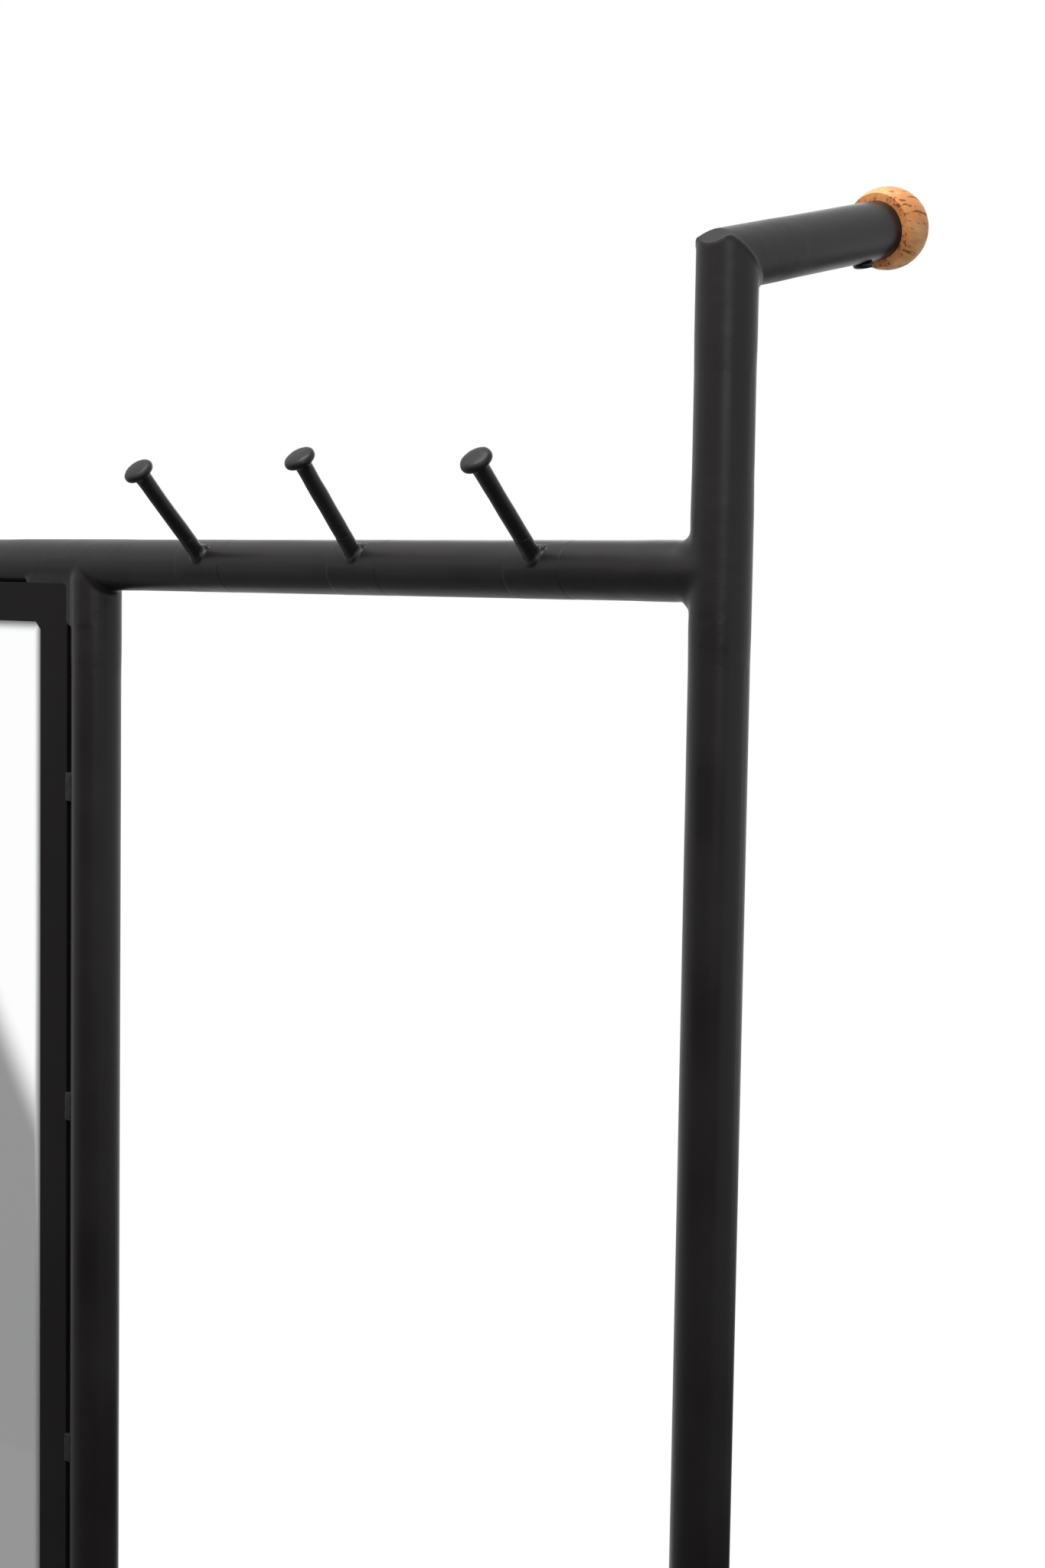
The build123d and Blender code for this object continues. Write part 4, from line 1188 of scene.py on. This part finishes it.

# %% [markdown]
# ## Other finishes
# The parts that the photograph hides still get their real finishes: hardboard with its pressed
# fibres, black foam tape, moulded plastic, zinc-plated steel with fine scratches, and screws
# with a black coating. The mirror is silvered glass. Where the flat bars lie close to it, its
# reflection grows soft, and its colour turns grey there as a painted shade.

# %% Plastics, foam and screws
plug_plastic, *_ = sprayed_material(
    "black_moulded_plastic", (0.012, 0.012, 0.013), (0.017, 0.017, 0.018), 0.52, 0.08, 0.03 * MM,
    Dimple_Scale=1400.0)
glide_plastic, *_ = sprayed_material(
    "dark_glide_plastic", (0.015, 0.015, 0.016), (0.024, 0.023, 0.024), 0.58, 0.10, 0.04 * MM,
    Dimple_Scale=1100.0)
foam_tape, _, foam_shader, _ = sprayed_material(
    "black_foam", (0.012, 0.012, 0.012), (0.030, 0.029, 0.028), 0.95, 0.04, 0.25 * MM,
    Drift_Scale=420.0, Dimple_Scale=2200.0)
foam_shader.inputs["Specular IOR Level"].default_value = 0.2
black_screw, screw_tree, screw_shader, screw_skin = sprayed_material(
    "black_coated_screw", (0.006, 0.006, 0.006), (0.013, 0.012, 0.012), 0.34, 0.16, 0.02 * MM,
    Drift_Scale=180.0)
screw_ground = add_group(screw_tree, ground_metal, object_place(screw_tree), Facet_Scale=420.0,
                         Scratch_Scale=2600.0)
screw_height = add_math(screw_tree, "ADD", screw_skin.outputs["Height"],
                        screw_ground.outputs["Height"])
add_bump(screw_tree, screw_shader, screw_height, 0.03 * MM)
print("plastics, foam and screws are ready")

# %% Plated steel


def plated_steel(name, colour, worn_colour, roughness):
    """Zinc-plated steel: bright, with duller clouds and fine scratches."""
    material, tree, shader = start_material(name)
    place = object_place(tree)
    skin = add_group(tree, sprayed_skin, place, Colour=(*colour, 1), Thin_Colour=(*worn_colour, 1),
                     Drift_Scale=160.0, Roughness=roughness, Roughness_Drift=0.2)
    ground = add_group(tree, ground_metal, place, Facet_Scale=700.0, Scratch_Scale=2400.0)
    patch_rough = add_math(tree, "MULTIPLY", ground.outputs["Patches"], 0.08)
    tree.links.new(skin.outputs["Colour"], shader.inputs["Base Color"])
    roughness = add_math(tree, "ADD", skin.outputs["Roughness"], patch_rough)
    tree.links.new(roughness, shader.inputs["Roughness"])
    shader.inputs["Metallic"].default_value = 1.0
    add_bump(tree, shader, ground.outputs["Height"], 0.02 * MM)
    return material


clip_steel = plated_steel("plated_clip_steel", (0.60, 0.61, 0.60), (0.47, 0.48, 0.46), 0.34)
plain_steel = plated_steel("plated_plain_steel", (0.56, 0.56, 0.55), (0.40, 0.40, 0.39), 0.38)
glide_steel = plated_steel("plated_glide_steel", (0.62, 0.62, 0.60), (0.50, 0.49, 0.46), 0.30)
foot_fastener = plated_steel("black_oxide_bolt", (0.055, 0.053, 0.055), (0.085, 0.080, 0.078), 0.36)
print("four kinds of plated steel are ready")

# %% Hardboard
hardboard, board_tree, board_shader = start_material("brown_hardboard")
board_place = object_place(board_tree)
fibre_place = object_place(board_tree, stretch=(1, 1, 0.45), turn=(0, 0.5, 0))
board_fibre = add_noise(board_tree, fibre_place, 900, 5, 0.7)
board_cloud = add_noise(board_tree, board_place, 26, 3)
board_fleck = add_range(board_tree, add_noise(board_tree, board_place, 1500, 2, 0.6), 0.60, 0.74)
board_base = add_colour_mix(board_tree, add_range(board_tree, board_fibre, 0.34, 0.66),
                            (0.115, 0.058, 0.028, 1), (0.21, 0.118, 0.062, 1))
board_tone = add_colour_mix(board_tree, add_range(board_tree, board_cloud, 0.35, 0.70, 0.0, 0.45),
                            board_base, (0.145, 0.083, 0.046, 1))
board_colour = add_colour_mix(board_tree, board_fleck, board_tone, (0.055, 0.028, 0.015, 1))
board_rough = add_range(board_tree, board_fibre, 0.3, 0.7, 0.62, 0.82)
board_tree.links.new(board_colour, board_shader.inputs["Base Color"])
board_tree.links.new(board_rough, board_shader.inputs["Roughness"])
add_bump(board_tree, board_shader, board_fibre, 0.12 * MM)
print(hardboard.name, "has", len(board_tree.nodes), "nodes")

# %% Silvered glass
MIRROR_HALF = ((SIDE_TUBE_X - LEFT_X) / 2 - FLAT_EDGE - SIDE_FLAT_WIDTH,
               (TOP_BAR_Z - BOTTOM_BAR_Z) / 2 - FLAT_EDGE - LEVEL_FLAT_WIDTH)
SIDE_SHIFT = 4.4 * MM
PAINTED_EDGE_SHADE_GREY = (0.26, 0.28, 0.265, 1)

mirror_glass, glass_tree, glass_shader = start_material("silvered_glass")
glass_place = object_place(glass_tree)
glass_axes = glass_tree.nodes.new("ShaderNodeSeparateXYZ")
glass_tree.links.new(glass_place, glass_axes.inputs[0])
glass_margins = []
# The side flats hide the outermost glass from the camera, so the soft edge and its painted shade
# start further in.
for axis, middle, half in (("X", BAY_MIDDLE[0], MIRROR_HALF[0] - SIDE_SHIFT),
                           ("Z", BAY_MIDDLE[1], MIRROR_HALF[1])):
    from_middle = add_math(glass_tree, "SUBTRACT", glass_axes.outputs[axis], middle)
    margin = add_math(glass_tree, "SUBTRACT", half, add_math(glass_tree, "ABSOLUTE", from_middle))
    glass_margins.append(margin)
glass_margin = add_math(glass_tree, "MINIMUM", glass_margins[0], glass_margins[1])
glass_softness = add_range(glass_tree, glass_margin, -1 * MM, 7 * MM, 0.30, 0.015)
glass_tree.links.new(glass_softness, glass_shader.inputs["Roughness"])
glass_clouds = add_range(glass_tree, add_noise(glass_tree, glass_place, 3.0, 2), 0.3, 0.7)
glass_colour = add_colour_mix(glass_tree, glass_clouds, (0.985, 0.990, 0.985, 1),
                              (0.965, 0.975, 0.970, 1))
# The glass's colour turns grey near the flat bars. This grey is painted shade.
painted_edge_shade_share = add_range(glass_tree, glass_margin, -0.5 * MM, 6.5 * MM)
glass_colour = add_colour_mix(glass_tree, painted_edge_shade_share, PAINTED_EDGE_SHADE_GREY, glass_colour)
glass_tree.links.new(glass_colour, glass_shader.inputs["Base Color"])
glass_shader.inputs["Metallic"].default_value = 1.0
print("the open mirror is", [round(2 * half, 3) for half in MIRROR_HALF], "m wide and high")

# %% [markdown]
# ## Fasteners, plugs and glides
# Small parts are turned, cut and eased like the rest. One is made and copied, and each copy gets
# its own mesh. The black screw under each arm has a slotted pan head. The screws of the board's
# clips have a cross recess, and the bolts under the feet a hexagon socket.

# %% Helpers for fasteners


def carve(piece, cutters):
    """Cut other closed solids out of a piece."""
    for cutter in cutters:
        modifier = piece.modifiers.new("carve", "BOOLEAN")
        modifier.operation = "DIFFERENCE"
        modifier.object = cutter
        apply_modifiers(piece)
        bpy.data.objects.remove(cutter)
    return piece


def copies_of(piece, name, places):
    """Set copies of a piece in several places, as one object, and drop the first."""
    made = [copy_to(piece, name, place) for place in places]
    bpy.data.objects.remove(piece)
    return smooth_shade(join_as(name, made), 32)


def thread_rings(start, end, radius, pitch):
    """Rings for a turned thread: crests and roots along a shank, in millimetres."""
    rings = []
    place = start
    while place + pitch <= end:
        rings += [(place, radius * 0.88), (place + pitch * 0.42, radius),
                  (place + pitch * 0.58, radius)]
        place += pitch
    return rings


print("fastener helpers are ready")

# %% Screws under the arms
HEAD_SEAT = TUBE_RADIUS / MM
ARM_SCREW_INSET = 14 * MM
ARM_UNDER = Vector((0, sin(ARM_RISE), -cos(ARM_RISE)))
screw_rings = [(2.6, 1.75), (HEAD_SEAT, 1.75), (HEAD_SEAT + 0.02, 4.4), (HEAD_SEAT + 0.3, 4.75),
               (HEAD_SEAT + 1.1, 4.8), (HEAD_SEAT + 1.7, 4.5), (HEAD_SEAT + 2.15, 3.8),
               (HEAD_SEAT + 2.38, 2.6), (HEAD_SEAT + 2.42, 1.2)]
arm_screw = turn_piece("arm_screw", (0, 0, 0), (0, 0, -1), screw_rings, corners=48)
slot = add_block((-6 * MM, -0.55 * MM, -(HEAD_SEAT + 4) * MM),
                 (6 * MM, 0.55 * MM, -(HEAD_SEAT + 1.2) * MM))
carve(arm_screw, [slot])
screw_turn = Vector((0, 0, -1)).rotation_difference(ARM_UNDER).to_matrix().to_4x4()
screw_places = []
for x in (RIGHT_X, LEFT_X):
    place = Vector((x, 0, ARM_CORNER_Z)) + ARM_ALONG * (ARM_LENGTH - ARM_SCREW_INSET)
    screw_places.append(Matrix.Translation(place) @ screw_turn)
arm_screws = copies_of(arm_screw, "slotted_arm_screws", screw_places)
finish_piece(arm_screws, black_screw, "black_screw", "arm_ball_screws")
print(arm_screws.name, "has", len(screw_places), "screws")

# %% Clips of the board
BOARD_BACK = -0.95 * MM
CLIP_FACE = TUBE_RADIUS + 0.05 * MM
CLIP_SCREW_SETBACK = 6 * MM
CLIP_THICK = 1.5 * MM
CLIP_TOE = 16 * MM
CLIP_LEG = 12 * MM
clip = add_block((CLIP_FACE, BOARD_BACK, -8 * MM),
                 (CLIP_FACE + CLIP_TOE, BOARD_BACK + CLIP_LEG, 8 * MM))
carve(clip, [add_block((CLIP_FACE + CLIP_THICK, BOARD_BACK + CLIP_THICK, -9 * MM),
                       (CLIP_FACE + 20 * MM, BOARD_BACK + 16 * MM, 9 * MM))])
for end in (-1, 1):
    cut_away(clip, (CLIP_FACE + CLIP_TOE, 0, end * 5.5 * MM), (1, 0, end))
    cut_away(clip, (0, BOARD_BACK + CLIP_LEG, end * 5.5 * MM), (0, 1, end))
ease_edges(clip, 0.3 * MM)
carve(clip, [add_bar((0, CLIP_SCREW_SETBACK, 0), (TUBE_RADIUS + 0.01, CLIP_SCREW_SETBACK, 0),
                     2.2 * MM, corners=40)])

clip_places = []
bay_height = TOP_BAR_Z - BOTTOM_BAR_Z
for number in range(3):
    z = BOTTOM_BAR_Z + bay_height * (number + 0.5) / 3
    clip_places += [(SIDE_TUBE_X, z, 180), (LEFT_X, z, 0)]
for number in range(2):
    x = LEFT_X + (SIDE_TUBE_X - LEFT_X) * (number + 0.5) / 2
    clip_places += [(x, TOP_BAR_Z, 90), (x, BOTTOM_BAR_Z, -90)]
clip_places = [Matrix.Translation((x, 0, z)) @ Matrix.Rotation(radians(turn), 4, "Y")
               for x, z, turn in clip_places]
clips = copies_of(clip, "angle_clips", clip_places)
finish_piece(clips, clip_steel, "clip_steel", "retaining_clips")

seat = (CLIP_FACE + CLIP_THICK) / MM
pan_rings = [(seat - 11, 0.5), (seat - 9.8, 1.7)] + thread_rings(seat - 9.6, seat - 0.8, 2.05, 1.2)
pan_rings += [(seat - 0.01, 2.0), (seat, 3.8), (seat + 0.25, 4.0), (seat + 1.2, 4.0),
              (seat + 1.8, 3.65), (seat + 2.2, 2.9), (seat + 2.4, 1.7)]
pan_screw = turn_piece("pan_screw", (0, CLIP_SCREW_SETBACK, 0), (1, 0, 0), pan_rings, corners=32)
arms = []
for wide, high in ((1.9 * MM, 0.4 * MM), (0.4 * MM, 1.9 * MM)):
    arms.append(add_block(((seat + 1.0) * MM, CLIP_SCREW_SETBACK - wide, -high),
                          ((seat + 4.0) * MM, CLIP_SCREW_SETBACK + wide, high)))
carve(pan_screw, arms)
pan_screws = copies_of(pan_screw, "cross_recess_screws", clip_places)
finish_piece(pan_screws, clip_steel, "clip_steel", "clip_screws")
print("clips and screws:", len(clip_places), "of each")

# %% Plugs in the feet
FOOT_AXIS = 34.65 * MM
FOOT_REACH = 212 * MM
FOOT_BOTTOM = 21.2 * MM
tube = TUBE_RADIUS / MM
bore = BORE_RADIUS / MM - 0.1
plug_rings = [(-15, bore - 0.8), (-14.2, bore), (-11, bore), (-10.8, bore - 0.5),
              (-10, bore - 0.5), (-9.8, bore), (-3.01, bore), (-3, tube - 0.15), (-2.85, tube),
              (-2.1, tube - 0.02), (-1.5, tube - 0.28), (-0.95, tube - 0.8), (-0.45, tube - 1.7),
              (-0.12, tube - 3.0), (-0.01, tube - 4.6), (0, tube - 7.5), (0.0, 1.0)]
plug = turn_piece("end_plug", (0, 0, 0), (0, 1, 0), plug_rings, corners=72)
plug_places = []
for x in (RIGHT_X, LEFT_X):
    plug_places += [Matrix.Translation((x, FOOT_REACH, FOOT_AXIS)),
                    Matrix.Translation((x, -FOOT_REACH, FOOT_AXIS)) @ Matrix.Rotation(pi, 4, "Z")]
plugs = copies_of(plug, "domed_foot_plugs", plug_places)
finish_piece(plugs, plug_plastic, "plug_plastic", "foot_end_plugs")
print(plugs.name, "has", len(plug_places), "plugs")

# %% Bolts in the feet
WASHER_THICKNESS = 2
PLUG_LIFT = 2
PLUG_LENGTH = 25
BOLT_SHORT = 4
SOCKET_RADIUS = 2.9 * MM
bolt_seat = FOOT_BOTTOM / MM - WASHER_THICKNESS
bolt_top = 2 * tube + FOOT_BOTTOM / MM + PLUG_LIFT + PLUG_LENGTH - BOLT_SHORT
bolt_rings = [(bolt_seat - 4.4, 2.0), (bolt_seat - 4.38, 4.4), (bolt_seat - 4.0, 5.5),
              (bolt_seat - 3.2, 6.3), (bolt_seat - 2.2, 6.8), (bolt_seat - 1.2, 7.0),
              (bolt_seat - 0.2, 7.0), (bolt_seat, 6.8), (bolt_seat + 0.01, 3.95)]
bolt_rings += thread_rings(bolt_seat + 10, bolt_top - 1.4, 3.98, 1.25) + [(bolt_top, 2.6)]
bolt = turn_piece("foot_bolt", (0, 0, 0), (0, 0, 1), bolt_rings, corners=48)
carve(bolt, [add_bar((0, 0, (bolt_seat - 6) * MM), (0, 0, (bolt_seat - 1.8) * MM),
                     SOCKET_RADIUS, corners=6)])
bolt_places = [Matrix.Translation((x, 0, 0)) for x in (RIGHT_X, LEFT_X)]
bolts = copies_of(bolt, "socket_foot_bolts", bolt_places)
finish_piece(bolts, foot_fastener, "foot_fastener", "foot_bolts")
print("a foot bolt is", round(bolt_top - bolt_seat, 1), "mm long under its head")

# %% Levelling glides
GLIDE_REACH = FOOT_REACH - 30 * MM
base_rings = [(0, 12.6), (0.25, 13.9), (0.9, 14.75), (1.8, 15.0), (5.2, 15.0), (5.5, 14.7),
              (6.0, 14.7), (6.3, 14.95), (7.0, 14.9), (8.2, 13.9), (8.8, 13.1), (9.0, 12.2),
              (9.0, 9.6), (8.6, 9.2), (8.6, 5.2), (9.0, 4.8), (8.9, 4.2), (4.0, 4.1)]
glide_base = turn_piece("glide_base", (0, 0, 0), (0, 0, 1), base_rings, corners=72)
smooth_shade(glide_base, 40)
hexagon = turn_piece("hexagon", (0, 0, 0), (0, 0, 1),
                     [(9.0, 7.0), (9.4, 7.5), (13.6, 7.5), (14.0, 7.0)], corners=6)
shank_rings = [(4.0, 3.4), (4.6, 3.95), (13.9, 3.95)] + thread_rings(14.0, 37.0, 3.98, 1.25)
shank = turn_piece("shank", (0, 0, 0), (0, 0, 1), shank_rings + [(38.0, 2.9)], corners=40)
glide_stud = join_as("glide_stud", [hexagon, shank])
glide_bodies = []
for end, way in (("front", -1), ("back", 1)):
    for side, x in (("right", RIGHT_X), ("left", LEFT_X)):
        body = end + "_" + side + "_glide"
        place = Matrix.Translation((x, way * GLIDE_REACH, 0))
        base = copy_to(glide_base, body + "_foot", place)
        finish_piece(base, glide_plastic, "glide_plastic", body + "_base", body=body)
        stud = smooth_shade(copy_to(glide_stud, body + "_threaded_stud", place), 32)
        finish_piece(stud, glide_steel, "glide_steel", body + "_stud", body=body)
        glide_bodies.append(body)
bpy.data.objects.remove(glide_base)
bpy.data.objects.remove(glide_stud)
print("glides:", glide_bodies)

# %% [markdown]
# ## Nodes that stay from the CAD model
# Tubes, the mirror, the board and the tape have their final shape in the CAD model already.
# They stay as they are and get their finishes through their material slots.

# %% Finishes of the CAD nodes
finishes = {
    "right_upright": frame_paint, "left_upright": frame_paint, "right_arm": frame_paint,
    "left_arm": frame_paint, "right_foot_tube": frame_paint, "left_foot_tube": frame_paint,
    "top_crossbar": frame_paint, "bottom_crossbar": frame_paint, "mirror_side_tube": frame_paint,
    "mirror_glass": mirror_glass, "back_board": hardboard, "glass_bedding_tape": foam_tape,
    "upright_plugs": plug_plastic, "glide_inserts": plain_steel, "foot_washers": plain_steel,
}
for name, material in finishes.items():
    for slot in nodes[name].material_slots:
        slot.material = material
print("finished", len(finishes), "CAD nodes")
